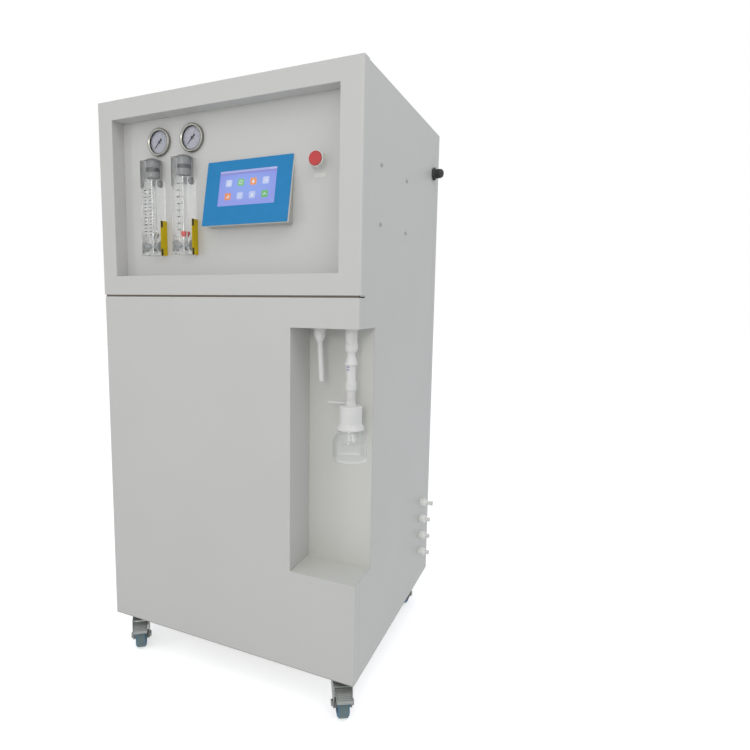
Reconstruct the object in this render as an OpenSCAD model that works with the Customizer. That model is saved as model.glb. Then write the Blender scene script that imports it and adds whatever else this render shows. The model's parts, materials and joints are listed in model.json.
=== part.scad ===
// Laboratory pure water cabinet: a sheet metal cabinet on casters with a recessed control panel
// and a dispensing niche cut through its front right corner. Front is -Y, right is +X, up is +Z.

/* [Cabinet] */
// Width of the cabinet across its side panels
cab_w = 600; // [560:1:700]
// Depth from the front panels to the rear cover
cab_d = 552; // [530:1:650]
// Height of the cabinet above the casters
cab_h = 1147; // [1130:1:1250]
// Thickness of the cabinet sheets
sheet = 1.5; // [1:0.1:2.5]
// Thickness of the upper front frame
frame_t = 2; // [1.5:0.1:3]
// Thickness of the base pan
base_t = 2; // [1.5:0.1:4]
// Outer radius of the front bends
bend_r = 4; // [3.2:0.1:6]
// Depth of the side returns on the front panels
front_return = 25; // [20:0.5:35]
// Depth of the side returns on the rear cover
rear_return = 35; // [20:0.5:37]
// Depth of the folded flanges inside the cabinet
flange = 20; // [12:0.5:24]
// Height of the lower front panel
lower_h = 740; // [725:1:760]
// Gap between the lower front panel and the upper frame
seam = 4; // [2:0.1:8]
// Hairline gap between neighbouring sheets
hairline = 0.4; // [0.3:0.1:1]

/* [Recess] */
// Width of the frame at the left of the recess
border_left = 39; // [30:0.5:60]
// Width of the frame at the right of the recess
border_right = 44; // [30:0.5:45]
// Height of the frame above the recess
border_top = 39; // [30:0.5:42]
// Height of the frame below the recess
border_bottom = 40; // [30:0.5:42]
// Depth from the frame's face to the control panel
recess_d = 34; // [34:0.5:60]
// How far the control panel reaches behind the frame
panel_lap = 12; // [8:0.5:25]

/* [Niche] */
// Width of the niche, open at the right
niche_w = 138; // [125:0.5:160]
// Depth of the niche, open at the front
niche_d = 86.5; // [82:0.5:110]
// Height of the niche floor above the cabinet's bottom
niche_floor = 203; // [150:1:230]
// Height of the niche opening
niche_h = 481; // [450:1:500]

/* [Gauges] */
// Outside diameter of a gauge bezel
gauge_d = 56.5; // [50:0.5:62]
// How far a gauge stands out of the control panel
gauge_proud = 8; // [6:0.5:12]
// Depth of a gauge's case behind the panel's face
gauge_sunk = 9; // [8:0.5:14]
// Width of the bezel's rim
gauge_rim = 5.5; // [4:0.1:6.5]
// Distance from the recess's left edge to the first gauge
gauge_inset = 99.5; // [90:0.5:120]
// Distance between the two gauges
gauge_pitch = 84; // [70:0.5:90]
// Gap between a flow meter's plug and the gauge above it
gauge_gap = 6.5; // [2:0.5:12]
// Diameter of a gauge's stem behind its case
gauge_stem_d = 14; // [10:0.5:18]
// Thickness of a gauge lens
lens_t = 2; // [1.5:0.1:3]
// Diameter of a pointer's shaft
pointer_shaft_d = 2.4; // [2:0.1:4]
// Thickness of a pointer
pointer_t = 0.6; // [0.4:0.1:1.2]

/* [Flow meters] */
// Width of a flow meter block
flow_w = 39.5; // [34:0.5:46]
// Depth of a flow meter block
flow_depth = 33; // [30:0.5:34]
// Height of a flow meter block
flow_h = 194; // [176:0.5:198]
// Distance from the recess's left edge to the first flow meter
flow_inset = 92; // [80:1:110]
// Distance between the two flow meters
flow_pitch = 80; // [66:0.5:90]
// Height of a flow meter above the recess's lower edge
flow_rise = 42; // [30:0.5:46]
// Diameter of the tapered bore at its foot
bore_foot_d = 17; // [16:0.1:19]
// Diameter of the tapered bore at its head
bore_head_d = 21; // [20:0.1:22]
// Diameter of a plug inside its block
plug_d = 24; // [22.5:0.1:26]
// Length of a plug inside its block
plug_l = 36; // [30:0.5:44]
// Diameter of a plug's domed head
dome_d = 32.5; // [28:0.5:33]
// Height of a plug's domed head
dome_h = 5.5; // [4:0.5:9]
// Diameter of a rear port inside its block
rear_port_d = 14; // [10:0.5:16]
// Height of the lower port above the block's foot
rear_port_z = 16; // [12:0.5:20]
// Diameter of a float's guide rod
rod_d = 3; // [2:0.1:4]
// Diameter of a float
float_d = 13; // [9:0.1:15]
// Height of a float
float_h = 11; // [8:0.5:16]

/* [Display] */
// Width of the touch display
display_w = 192; // [180:1:205]
// Height of the touch display's sloping face
display_l = 131; // [120:1:140]
// How far the sloping face leans back
display_tilt = 11.9; // [8:0.1:13]
// How far the top edge of the face stands out of the panel
display_lip = 3; // [2.5:0.1:4]
// Gap between the right flow meter and the touch display
display_gap = 32; // [15:0.5:38]
// Height of the face's lower edge above the recess's lower edge
display_rise = 96; // [70:0.5:105]
// Thickness of the blue fascia
fascia_t = 1.6; // [1:0.1:2]
// Width of the visible screen
screen_w = 128; // [110:0.5:145]
// Height of the visible screen
screen_h = 70.5; // [60:0.5:80]
// Distance from the face's top edge to the screen
screen_top = 22.8; // [16:0.1:30]
// Depth of the electronics box behind the panel
display_back = 42; // [30:1:60]

/* [Button] */
// Diameter of the push button's cap
cap_d = 25.4; // [22:0.1:27]
// Wall of the collar around the cap
collar_wall = 1.6; // [1.2:0.1:3]
// How far the collar stands out of the panel
collar_proud = 19; // [16:0.5:22]
// How far the cap stands out of the collar
cap_proud = 2; // [1:0.1:3]
// Thickness of the cap's head
cap_t = 6; // [4:0.5:7]
// Travel of the push button
cap_travel = 4; // [2:0.1:5]
// Diameter of the cap's stem
cap_stem_d = 10; // [6:0.1:12]
// Diameter of the collar's threaded body
button_body_d = 22; // [18:0.5:24]
// Gap between the touch display and the push button's axis
button_gap = 51.5; // [40:0.5:55]
// Height of the push button above the recess's lower edge
button_rise = 205.5; // [180:0.5:215]

/* [Right side] */
// Diameter of a water port's collar
port_d = 22; // [20:0.5:26]
// How far a port's collar stands out of the side
port_proud = 15; // [10:0.5:20]
// Diameter of a port's thread
port_thread_d = 16; // [13:0.5:18]
// Outside diameter of the hose stubs
stub_d = 9.5; // [8:0.1:12]
// Length of a hose stub
stub_l = 9.5; // [8:0.5:30]
// Extra length of the topmost stub
stub_extra = 6; // [0:0.5:10]
// Height of the lowest port
port_z = 79; // [60:0.5:90]
// Distance between ports
port_pitch = 44.5; // [38:0.5:52]
// Distance from the rear to the ports
port_inset = 77; // [70:0.5:85]
// Diameter of the cable gland's base
gland_d = 31; // [26:0.5:36]
// Diameter of the gland's thread
gland_thread_d = 20; // [16:0.5:22]
// How far the gland stands out of the side
gland_proud = 26; // [20:0.5:32]
// Diameter of the gland's cable hole
gland_bore_d = 9; // [6:0.5:11]
// Distance from the rear to the gland
gland_inset = 56; // [54:0.5:70]
// Distance from the cabinet's top to the gland
gland_drop = 103; // [80:1:140]

/* [Dispensing] */
// Distance from the right side to the filter's axis
filter_inset = 32; // [26:0.5:36]
// Distance from the front to the filter's axis
filter_y = 44; // [40:0.5:46]
// Diameter of the ceiling adapter
adapter_d = 23.6; // [20:0.1:28]
// Length of the adapter's straight part
adapter_l = 30; // [24:0.5:40]
// Height of the adapter's ring
ring_h = 15; // [10:0.5:20]
// Diameter of the waist below the ring
waist_d = 16; // [13:0.1:18]
// Height of the waist
waist_h = 8; // [5:0.5:12]
// Height of the check valve's cone
cone_h = 16; // [10:0.5:20]
// Diameter of the cone's rim
cone_d = 25.5; // [22:0.1:28]
// Diameter of the check valve's body
valve_d = 18.5; // [17:0.1:21]
// Length of the check valve's body
valve_l = 30; // [24:0.5:40]
// Diameter of the check valve's collar
valve_collar_d = 21.5; // [20:0.1:25]
// Height of the check valve's collar
valve_collar_h = 18; // [12:0.5:24]
// Outside diameter of the filter's stem
stem_d = 18.5; // [12:0.1:19]
// Length of the filter's stem between valve and cap
stem_l = 20; // [15:0.5:30]
// Depth of the stem in each seat
stem_seat = 8; // [5:0.5:9]
// Height of the filter cap's neck
neck_h = 9; // [7:0.5:12]
// Diameter of the filter cap
filter_cap_d = 44.6; // [40:0.1:50]
// Height of the filter cap
filter_cap_h = 35; // [30:0.5:40]
// Diameter of the filter cap's flange
filter_flange_d = 54; // [51:0.5:60]
// Height of the filter cap's flange
filter_flange_h = 11; // [6:0.5:14]
// Diameter of the side vent
vent_d = 5; // [4:0.1:6]
// Length of the side vent from the filter's axis
vent_l = 47; // [24:0.5:50]
// Diameter of the filling bell
bell_d = 70; // [62:0.5:76]
// Height of the filling bell
bell_h = 63; // [54:0.5:75]
// Wall of the filling bell
bell_wall = 2; // [1.5:0.1:3]
// Distance from the niche's left wall to the outlet
outlet_inset = 41; // [30:0.5:48]
// Diameter of the outlet cup
outlet_cup_d = 24; // [20:0.1:28]
// Height of the outlet cup
outlet_cup_h = 27; // [22:0.5:34]
// Outside diameter of the outlet tube
outlet_tube_d = 10.9; // [9:0.1:11.5]
// Length of the outlet tube below its cup
outlet_tube_l = 77; // [50:1:100]
// Lean of the outlet tube
outlet_lean = 3; // [0:0.1:3.5]

/* [Casters] */
// Height of a caster from the floor to its plate
caster_h = 80; // [78:0.5:100]
// Diameter of a wheel
wheel_d = 56; // [50:0.5:58]
// Width of a wheel's tread
wheel_w = 23; // [20:0.5:26]
// Distance from the swivel axis to the axle
trail = 25; // [22:0.5:28]
// Heading of the front left caster as it stands
front_left_turn = -52; // [-90:1:90]
// Heading of the front right caster as it stands
front_right_turn = -60; // [-90:1:90]
// Heading of the rear left caster as it stands
rear_left_turn = -70; // [-180:1:180]
// Heading of the rear right caster as it stands
rear_right_turn = -92; // [-180:1:180]
// Distance from the cabinet's sides to the swivel axes
caster_inset_x = 42; // [38:0.5:60]
// Distance from the cabinet's front and rear to the swivel axes
caster_inset_y = 39; // [38:0.5:60]
// Width of a caster's plate
plate_w = 64; // [60:0.5:70]
// Thickness of a caster's plate
plate_t = 3; // [2:0.1:4]
// Distance between the plate's bolts
plate_bolt_pitch = 46; // [44:0.5:50]
// Diameter of the plate's bolts
plate_bolt_d = 6; // [5:0.1:8]
// Diameter of the kingpin
kingpin_d = 10; // [8:0.1:12]
// Width of a fork across its legs
fork_w = 38; // [36:0.5:44]
// Thickness of a fork's metal
fork_t = 2.5; // [2:0.1:3]
// Diameter of an axle
axle_d = 8; // [6:0.1:10]
// Diameter of a brake pedal's pin
pedal_pin_d = 4; // [3:0.1:4.5]

/* [Inside] */
// Diameter of a pre-filter housing
prefilter_d = 110; // [90:1:115]
// Height of a pre-filter housing
prefilter_h = 290; // [250:1:340]
// Distance between pre-filter housings
prefilter_pitch = 140; // [135:1:142]
// Diameter of a membrane vessel
vessel_d = 100; // [80:1:110]
// Height of a membrane vessel
vessel_h = 560; // [480:1:580]
// Diameter of a polishing cartridge
cartridge_d = 112; // [90:1:114]
// Height of a polishing cartridge
cartridge_h = 480; // [420:1:560]
// Diameter of the booster pump's motor
pump_d = 95; // [80:1:100]
// Height of the booster pump
pump_h = 220; // [200:1:260]
// Outside diameter of the tubing
tube_d = 9.5; // [8:0.1:11]
// Width of the power supply's screw pattern, front to rear
supply_pitch_y = 167; // [150:0.5:180]
// Height of the power supply's screw pattern
supply_pitch_z = 108.5; // [100:0.5:120]
// Diameter of the panel screws
screw_d = 4; // [3:0.1:5]

/* [Hidden] */
$fn = 64;

// Clearances
run_gap = 0.05;
seat_gap = 0.2;
bolt_gap = 0.2;

// Cabinet planes
half_w = cab_w / 2;
side_in = half_w - sheet;
rear_in = cab_d - sheet;
frame_top = cab_h - frame_t;
roof_in = cab_h - sheet;
frame_z0 = lower_h + seam;
side_y0 = front_return + hairline;
side_y1 = cab_d - rear_return - hairline;
shelf_z = lower_h - sheet;

// Recess and control panel
recess_x0 = -half_w - frame_t + border_left;
recess_x1 = half_w + frame_t - border_right;
recess_z0 = frame_z0 + border_bottom;
recess_z1 = cab_h - border_top;
panel_back = recess_d + sheet;

// Niche
niche_x0 = half_w - niche_w;
niche_z1 = niche_floor + niche_h;

// Instruments
flow_z = recess_z0 + flow_rise;
flow_xs = [recess_x0 + flow_inset, recess_x0 + flow_inset + flow_pitch];
flow_top = flow_z + flow_h;
flow_axis_y = recess_d - flow_depth / 2;
plug_z = flow_top - plug_l;
flow_tail = 26;
flow_nut_t = 8;
rod_foot_z = flow_z + 5;
inlet_d = rear_port_d - 3;
port_web = 12;
float_lift = 1;
bore_foot_z = flow_z + rear_port_z + rear_port_d / 2 + port_web;
float_rest_z = bore_foot_z + float_lift;
rear_port_zs = [flow_z + rear_port_z, plug_z - rear_port_d / 2 - float_lift];
gauge_z = flow_top + dome_h + gauge_gap + gauge_d / 2;
gauge_xs = [recess_x0 + gauge_inset, recess_x0 + gauge_inset + gauge_pitch];
gauge_cavity_d = gauge_d - 2 * gauge_rim;
gauge_back_t = 10;
gauge_cavity_h = gauge_proud + gauge_sunk - gauge_back_t;
gauge_tail = 25;
bezel_step = 1.5;
gauge_case_d = gauge_d - 2 * bezel_step;
dial_t = 0.8;
pointer_lift = 1.2;

// Touch display
display_x0 = flow_xs[1] + flow_w / 2 + display_gap;
display_mid_x = display_x0 + display_w / 2;
display_z0 = recess_z0 + display_rise;
display_z1 = display_z0 + display_l * cos(display_tilt);
display_heel = 5;
display_border = 12;
display_cut_w = display_w - 2 * display_border;
display_cut_z0 = display_z0 + display_border;
display_cut_z1 = display_cut_z0 + display_l - 2 * display_border;

// Push button
button_x = display_x0 + display_w + button_gap;
button_z = recess_z0 + button_rise;
cap_gap = 0.3;
cap_stop = 1;
collar_bore_d = cap_d + 2 * cap_gap;
collar_d = collar_bore_d + 2 * collar_wall;
collar_floor = collar_proud + cap_proud - cap_t - cap_travel - cap_stop;
button_nut_t = 6;
button_body_l = 22;
button_block_y = panel_back + button_body_l;
button_block_w = 30;

// Right side fittings
port_y = cab_d - port_inset;
port_zs = [for (i = [0 : 3]) port_z + i * port_pitch];
port_tail = 28;
stub_seat = 10;
stub_step = 0.5;
stub_wall = 1.25;
stub_root_d = stub_d - 2 * stub_step;
gland_y = cab_d - gland_inset;
gland_z = cab_h - gland_drop;
gland_tail = 14;
gland_nut_t = 5;

// Dispensing column, from the ceiling down
filter_x = half_w - filter_inset;
ring_z = niche_z1 - adapter_l;
waist_z = ring_z - ring_h;
valve_top = waist_z - waist_h;
valve_z = valve_top - cone_h;
collar_z = valve_z - valve_l;
stem_z = collar_z - valve_collar_h;
neck_z = stem_z - stem_l;
cap_top = neck_z - neck_h;
flange_top = cap_top - filter_cap_h;
bell_top = flange_top - filter_flange_h;
bell_z = bell_top - bell_h;
outlet_x = niche_x0 + outlet_inset;
outlet_y = filter_y;
outlet_z = niche_z1 - outlet_cup_h;
outlet_grip = 13;
outlet_play = 0.85;
outlet_wall = 1.5;
spigot_l = 16;
spigot_d = 12;
stem_wall = 2;
neck_d = stem_d + 6;
vent_seat = 2.5;
vent_wall = 1.2;
vent_z = cap_top + vent_d / 2 + 0.5;

// Casters
caster_xs = [-half_w + caster_inset_x, half_w - caster_inset_x];
caster_ys = [caster_inset_y, cab_d - caster_inset_y];
caster_turns = [[front_left_turn, rear_left_turn], [front_right_turn, rear_right_turn]];
wheel_r = wheel_d / 2;
plate_z = caster_h - plate_t;
race_d = 42;
race_h = 6;
race_gap = 0.5;
crown_z = plate_z - race_h - race_gap;
crown_d = 44;
kingpin_head_d = 18;
kingpin_head_h = 3;
leg_in = fork_w / 2 - fork_t;
hub_gap = 0.5;
hub_w = 2 * (leg_in - hub_gap);
pedal_ahead = 8;
pedal_clear = 4;
pedal_gap = 0.6;
pedal_x = trail + pedal_ahead;
roof_x = pedal_x + 5;
pedal_z = wheel_d + pedal_clear;
pedal_w = 2 * (leg_in - pedal_gap);
pedal_t = 2.4;
pedal_reach = 30;
pedal_slope = 12;
pedal_lip_h = 7;
pedal_step = 0.6;
axle_play = 0.1;

// Inside
boss_d = tube_d + 8;
elbow_d = tube_d + 6;
elbow_turn = 45;
link_gap = 8;
link_half = (prefilter_pitch - link_gap) / 2;
pump_inset = 70;
pump_x = half_w - pump_inset;
pump_y = 250;
pump_port_l = pump_d / 2 + 12;
feed_inset = 45;
feed_x = half_w - feed_inset;
feed_y = pump_y + pump_port_l + 2 * tube_d;
prefilter_inset = 80;
prefilter_y = 180;
prefilter_x0 = -half_w + prefilter_inset;
prefilter_cap_d = prefilter_d + 15;
prefilter_cap_h = 55;
prefilter_xs = [for (i = [0 : 2]) prefilter_x0 + i * prefilter_pitch];
vessel_rear = 130;
vessel_y = cab_d - vessel_rear;
vessel_end_d = vessel_d + 10;
vessel_gap = 10;
cartridge_rear = 132;
cartridge_y = cab_d - cartridge_rear;
cartridge_gap = 16;
row_gap = 19;
row_left_share = 0.264;
row_room = 2 * (side_in - vessel_end_d - cartridge_d) - vessel_gap - row_gap - cartridge_gap;
vessel_x0 = row_room * row_left_share + vessel_end_d / 2 - side_in;
vessel_xs = [vessel_x0, vessel_x0 + vessel_end_d + vessel_gap];
cartridge_x0 = vessel_xs[1] + vessel_end_d / 2 + row_gap + cartridge_d / 2;
cartridge_xs = [cartridge_x0, cartridge_x0 + cartridge_d + cartridge_gap];
solenoid_inset = 130;
solenoid_pitch = 70;
solenoid_y = 70;
solenoid_xs = [-half_w + solenoid_inset, -half_w + solenoid_inset + solenoid_pitch];
supply_y = 185.5;
supply_rise = 192;
supply_z = lower_h + supply_rise;
supply_lap = 12;
supply_plate_t = 3;
supply_depth = 60;
board_w = 220;
board_d = 160;
board_t = 1.6;
board_inset = 10;
post_h = 10;
post_d = 7;
heat_sink_w = 90;
heat_sink_d = 60;
heat_sink_h = 24;
relay_w = 50;
relay_d = 80;
relay_h = 34;
rear_screw_xs = [-half_w / 2, 0, half_w / 2];
rear_screw_zs = [base_t + flange / 2, roof_in - flange / 2];
screw_hole_d = screw_d + 2 * seat_gap;

// The box of the whole object is centred on the origin
mid_x = (half_w + port_proud + stub_l + stub_extra - half_w - frame_t) / 2;
front_turn = min(front_left_turn, front_right_turn);
wheel_front = caster_inset_y + (trail + wheel_r) * sin(front_turn) - wheel_w / 2 * cos(front_turn);
mid_y = (cab_d + min(0, wheel_front)) / 2;

// Colours
paint = "#c9c9c4";
white = "#f0f0ec";
steel = "#b9bcc0";
dark = "#3a3d40";
clear = "#dfe8ea";

// Floor frame: z is zero on the floor
module placed() {
    translate([-mid_x, -mid_y, 0]) children();
}

// Cabinet frame: z is zero at the cabinet's bottom
module cab() {
    translate([-mid_x, -mid_y, caster_h]) children();
}

// A frame on the control panel's face: local +Z goes into the panel
module on_panel(x, z) {
    translate([x, recess_d, z]) rotate([-90, 0, 0]) children();
}

// A frame on the right side's outer face: local +Z points out of the cabinet
module on_side(y, z) {
    translate([half_w, y, z]) rotate([0, 90, 0]) children();
}

// A frame on the display's sloping face: x across, local Z up the slope, local -Y outwards
module on_display() {
    translate([display_mid_x, recess_d - display_lip, display_z1]) rotate([-display_tilt, 0, 0]) children();
}

// A frame on a swivel axis at the floor: local +X is the trail
module at_caster(ix, iy) {
    translate([caster_xs[ix], caster_ys[iy], 0]) rotate([0, 0, caster_turns[ix][iy]]) children();
}

// A block given by its two corners
module block(a, b) {
    translate(a) cube(b - a);
}

// A tube or bar between two points
module bar(a, b, d) {
    v = b - a;
    translate(a) rotate([0, acos(v.z / norm(v)), atan2(v.y, v.x)]) cylinder(h = norm(v), d = d);
}

// A ring shaped solid
module ring(h, d, bore) {
    difference() {
        cylinder(h = h, d = d);
        translate([0, 0, -1]) cylinder(h = h + 2, d = bore);
    }
}

// A flat outline with both front corners rounded
module round_front(x0, x1, y0, y1, r) {
    translate([x0, y0 + r]) square([x1 - x0, y1 - y0 - r]);
    translate([x0 + r, y0]) square([x1 - x0 - 2 * r, r + 1]);
    translate([x0 + r, y0 + r]) circle(r);
    translate([x1 - r, y0 + r]) circle(r);
}

// A flat outline of a bent front sheet, seen from above
module front_bend(half, t) {
    difference() {
        round_front(-half, half, 0, front_return, bend_r);
        round_front(-half + t, half - t, t, front_return + 1, bend_r - t);
    }
}

// A horizontal sheet inside the cabinet with flanges that turn up or down
module tray(z, t, up, y0) {
    lift = up ? z + t : z - flange;
    translate([0, 0, z]) linear_extrude(t) round_front(-side_in, side_in, y0, rear_in, bend_r);
    for (s = [-1, 1])
        translate([s * (side_in - sheet / 2) - sheet / 2, y0 + front_return, lift])
            cube([sheet, rear_in - y0 - front_return, flange]);
    translate([-side_in, rear_in - sheet, lift]) cube([2 * side_in, sheet, flange]);
}

// Bolt positions around one caster plate
module at_plate_bolts() {
    for (x = [-1, 1], y = [-1, 1])
        translate([x * plate_bolt_pitch / 2, y * plate_bolt_pitch / 2, 0]) children();
}

// Every caster's swivel axis, square to the cabinet
module at_plates() {
    for (x = caster_xs, y = caster_ys)
        translate([x, y, 0]) children();
}

// Screw positions of the power supply on the right side
module at_side_screws() {
    for (y = [-1, 1], z = [-1, 1])
        on_side(supply_y + y * supply_pitch_y / 2, supply_z + z * supply_pitch_z / 2) children();
}

// Screw positions on the rear cover: local +Z points out of the cabinet
module at_rear_screws() {
    for (x = rear_screw_xs, z = rear_screw_zs)
        translate([x, cab_d, z]) rotate([-90, 0, 0]) children();
}

// Cabinet sheets

module base_pan() {
    color(paint) cab() difference() {
        tray(0, base_t, true, sheet);
        at_plates() at_plate_bolts() translate([0, 0, -1])
            cylinder(h = base_t + 2, d = plate_bolt_d + 2 * bolt_gap);
        at_rear_screws() translate([0, 0, -3 * sheet]) cylinder(h = 4 * sheet, d = screw_hole_d);
    }
}

// The front sheet, with a flap folded in at its notch as the niche's side wall
module lower_front_panel() {
    color(paint) cab() {
        difference() {
            union() {
                linear_extrude(lower_h) front_bend(half_w, sheet);
                block([-side_in + bend_r, sheet / 2, lower_h - sheet], [side_in - bend_r, flange, lower_h]);
            }
            block([niche_x0, -1, niche_floor], [half_w + 1, front_return + 1, niche_z1]);
        }
        block([niche_x0 - sheet, sheet / 2, niche_floor + hairline],
              [niche_x0, niche_d - hairline, niche_z1 - hairline]);
    }
}

module upper_front_frame() {
    inner = [recess_x0 - frame_t, recess_x1 + frame_t, recess_z0 - frame_t, recess_z1 + frame_t];
    top_half = half_w + frame_t - bend_r;
    color(paint) cab() difference() {
        union() {
            translate([0, 0, frame_z0]) linear_extrude(cab_h - frame_z0)
                front_bend(half_w + frame_t, frame_t);
            block([-top_half, frame_t / 2, frame_top], [top_half, front_return, cab_h]);
            block([-half_w + bend_r, frame_t / 2, frame_z0], [half_w - bend_r, flange, frame_z0 + frame_t]);
            block([inner[0], frame_t / 2, inner[2]], [inner[1], recess_d, inner[3]]);
        }
        block([recess_x0, -1, recess_z0], [recess_x1, recess_d + 1, recess_z1]);
    }
}

module side_sheet(s) {
    x0 = s > 0 ? side_in : -half_w;
    upper_y0 = bend_r + hairline;
    block([x0, side_y0, 0], [x0 + sheet, side_y1, roof_in]);
    block([x0, upper_y0, frame_z0 - seam / 2], [x0 + sheet, side_y0 + 1, roof_in]);
}

module left_side_panel() {
    color(paint) cab() side_sheet(-1);
}

module right_side_panel() {
    color(paint) cab() difference() {
        side_sheet(1);
        block([side_in - 1, 0, niche_floor], [half_w + 1, niche_d, niche_z1]);
        at_side_screws() translate([0, 0, -2 * sheet]) cylinder(h = 3 * sheet, d = screw_hole_d);
        for (z = port_zs)
            on_side(port_y, z) translate([0, 0, -2 * sheet])
                cylinder(h = 3 * sheet, d = port_thread_d + 2 * seat_gap);
        on_side(gland_y, gland_z) translate([0, 0, -2 * sheet])
            cylinder(h = 3 * sheet, d = gland_thread_d + 2 * seat_gap);
    }
}

module back_cover() {
    color(paint) cab() difference() {
        union() {
            block([-half_w, rear_in, 0], [half_w, cab_d, roof_in]);
            for (x = [-half_w, side_in])
                block([x, cab_d - rear_return, 0], [x + sheet, rear_in + sheet / 2, roof_in]);
        }
        at_rear_screws() translate([0, 0, -2 * sheet]) cylinder(h = 3 * sheet, d = screw_hole_d);
    }
}

module top_cover() {
    color(paint) cab() difference() {
        union() {
            block([-half_w, side_y0, roof_in], [half_w, cab_d, cab_h]);
            for (x = [-side_in, side_in - sheet])
                block([x, side_y0, roof_in - flange], [x + sheet, rear_in, roof_in + sheet / 2]);
            block([-side_in, rear_in - sheet, roof_in - flange], [side_in, rear_in, roof_in + sheet / 2]);
        }
        at_rear_screws() translate([0, 0, -3 * sheet]) cylinder(h = 4 * sheet, d = screw_hole_d);
    }
}

module mid_shelf() {
    color(paint) cab() tray(shelf_z - sheet, sheet, false, sheet);
}

module control_panel() {
    color(paint) cab() difference() {
        block([recess_x0 - panel_lap, recess_d, recess_z0 - panel_lap],
              [recess_x1 + panel_lap, panel_back, recess_z1 + panel_lap]);
        for (x = gauge_xs)
            on_panel(x, gauge_z) translate([0, 0, -1])
                cylinder(h = sheet + 2, d = gauge_case_d + 2 * seat_gap);
        for (x = flow_xs, z = rear_port_zs)
            on_panel(x, z) translate([0, 0, -1]) cylinder(h = sheet + 2, d = rear_port_d + 2 * seat_gap);
        on_panel(button_x, button_z) translate([0, 0, -1])
            cylinder(h = sheet + 2, d = button_body_d + 2 * seat_gap);
        block([display_mid_x - display_cut_w / 2, recess_d - 1, display_cut_z0],
              [display_mid_x + display_cut_w / 2, panel_back + 1, display_cut_z1]);
    }
}

module niche_liner() {
    wall_x = niche_x0 - sheet;
    back_y = niche_d + sheet;
    hole_d = spigot_d + 2 * seat_gap;
    color(paint) cab() difference() {
        union() {
            for (z = [niche_floor - sheet, niche_z1])
                translate([0, 0, z]) linear_extrude(sheet) intersection() {
                    round_front(-side_in, side_in, sheet, back_y, bend_r);
                    translate([wall_x, 0]) square([niche_w, back_y]);
                }
            block([wall_x, niche_d, niche_floor - sheet], [side_in, back_y, niche_z1 + sheet]);
        }
        translate([filter_x, filter_y, niche_z1 - 1]) cylinder(h = sheet + 2, d = hole_d);
        translate([outlet_x, outlet_y, niche_z1 - 1]) cylinder(h = sheet + 2, d = hole_d);
    }
}

module panel_screw(l) {
    head_h = 2.4;
    cylinder(h = head_h, d = 2 * screw_d);
    translate([0, 0, -l]) cylinder(h = l + head_h / 2, d = screw_d);
}

module panel_screws() {
    color(dark) cab() {
        at_side_screws() panel_screw(sheet + supply_plate_t);
        at_rear_screws() panel_screw(3 * sheet);
    }
}

// Pressure gauges

module gauge_cases() {
    color(steel) cab() for (x = gauge_xs)
        on_panel(x, gauge_z) difference() {
            union() {
                translate([0, 0, -gauge_proud]) cylinder(h = gauge_proud, d = gauge_d);
                translate([0, 0, -gauge_proud]) cylinder(h = gauge_proud + gauge_sunk, d = gauge_case_d);
                translate([0, 0, gauge_sunk - 1]) cylinder(h = gauge_tail + 1, d = gauge_stem_d);
            }
            translate([0, 0, -gauge_proud - 1]) cylinder(h = gauge_cavity_h + 1, d = gauge_cavity_d);
            translate([0, 0, -gauge_proud])
                cylinder(h = gauge_cavity_h + 3, d = pointer_shaft_d + 2 * run_gap);
        }
}

module gauge_dials() {
    color("#f4f6f8") cab() for (x = gauge_xs)
        on_panel(x, gauge_z) translate([0, 0, gauge_cavity_h - gauge_proud - dial_t])
            ring(dial_t, gauge_cavity_d - 2 * seat_gap, pointer_shaft_d + 2 * run_gap);
}

module gauge_lenses() {
    color(clear, 0.4) cab() for (x = gauge_xs)
        on_panel(x, gauge_z) translate([0, 0, 1 - gauge_proud])
            cylinder(h = lens_t, d = gauge_cavity_d - 2 * seat_gap);
}

// The pointer rests on zero at the lower left, with its tail at the upper right
module gauge_pointer(x) {
    tip = gauge_cavity_d * 0.36;
    tail = gauge_cavity_d * 0.2;
    hub_d = 2.4 * pointer_shaft_d;
    face = gauge_cavity_h - gauge_proud - dial_t - pointer_lift;
    color("#18181a") cab() on_panel(x, gauge_z) rotate([0, 0, 135]) {
        translate([0, 0, face - pointer_t]) linear_extrude(pointer_t) {
            polygon([[0, 0.9], [tip, 0.25], [tip, -0.25], [0, -0.9]]);
            polygon([[0, 0.9], [0, -0.9], [-tail, -1.7], [-tail, 1.7]]);
            circle(d = hub_d);
        }
        translate([0, 0, face - 0.1]) cylinder(h = pointer_lift + dial_t + 2, d = pointer_shaft_d);
    }
}

module left_gauge_pointer() {
    gauge_pointer(gauge_xs[0]);
}

module right_gauge_pointer() {
    gauge_pointer(gauge_xs[1]);
}

// Panel flow meters

module flow_body(x) {
    color(clear, 0.5) cab() difference() {
        block([x - flow_w / 2, recess_d - flow_depth, flow_z], [x + flow_w / 2, recess_d, flow_top]);
        translate([x, flow_axis_y, bore_foot_z])
            cylinder(h = plug_z - bore_foot_z, d1 = bore_foot_d, d2 = bore_head_d);
        translate([x, flow_axis_y, plug_z]) cylinder(h = plug_l + 1, d = plug_d + 2 * seat_gap);
        translate([x, flow_axis_y, flow_z + rear_port_z])
            cylinder(h = bore_foot_z - flow_z - rear_port_z + 1, d = inlet_d);
        translate([x, flow_axis_y, rod_foot_z]) cylinder(h = flow_h, d = rod_d + 2 * run_gap);
        for (z = rear_port_zs)
            on_panel(x, z) translate([0, 0, flow_axis_y - recess_d])
                cylinder(h = flow_depth, d = rear_port_d + 2 * seat_gap);
    }
}

module left_flow_body() {
    flow_body(flow_xs[0]);
}

module right_flow_body() {
    flow_body(flow_xs[1]);
}

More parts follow.
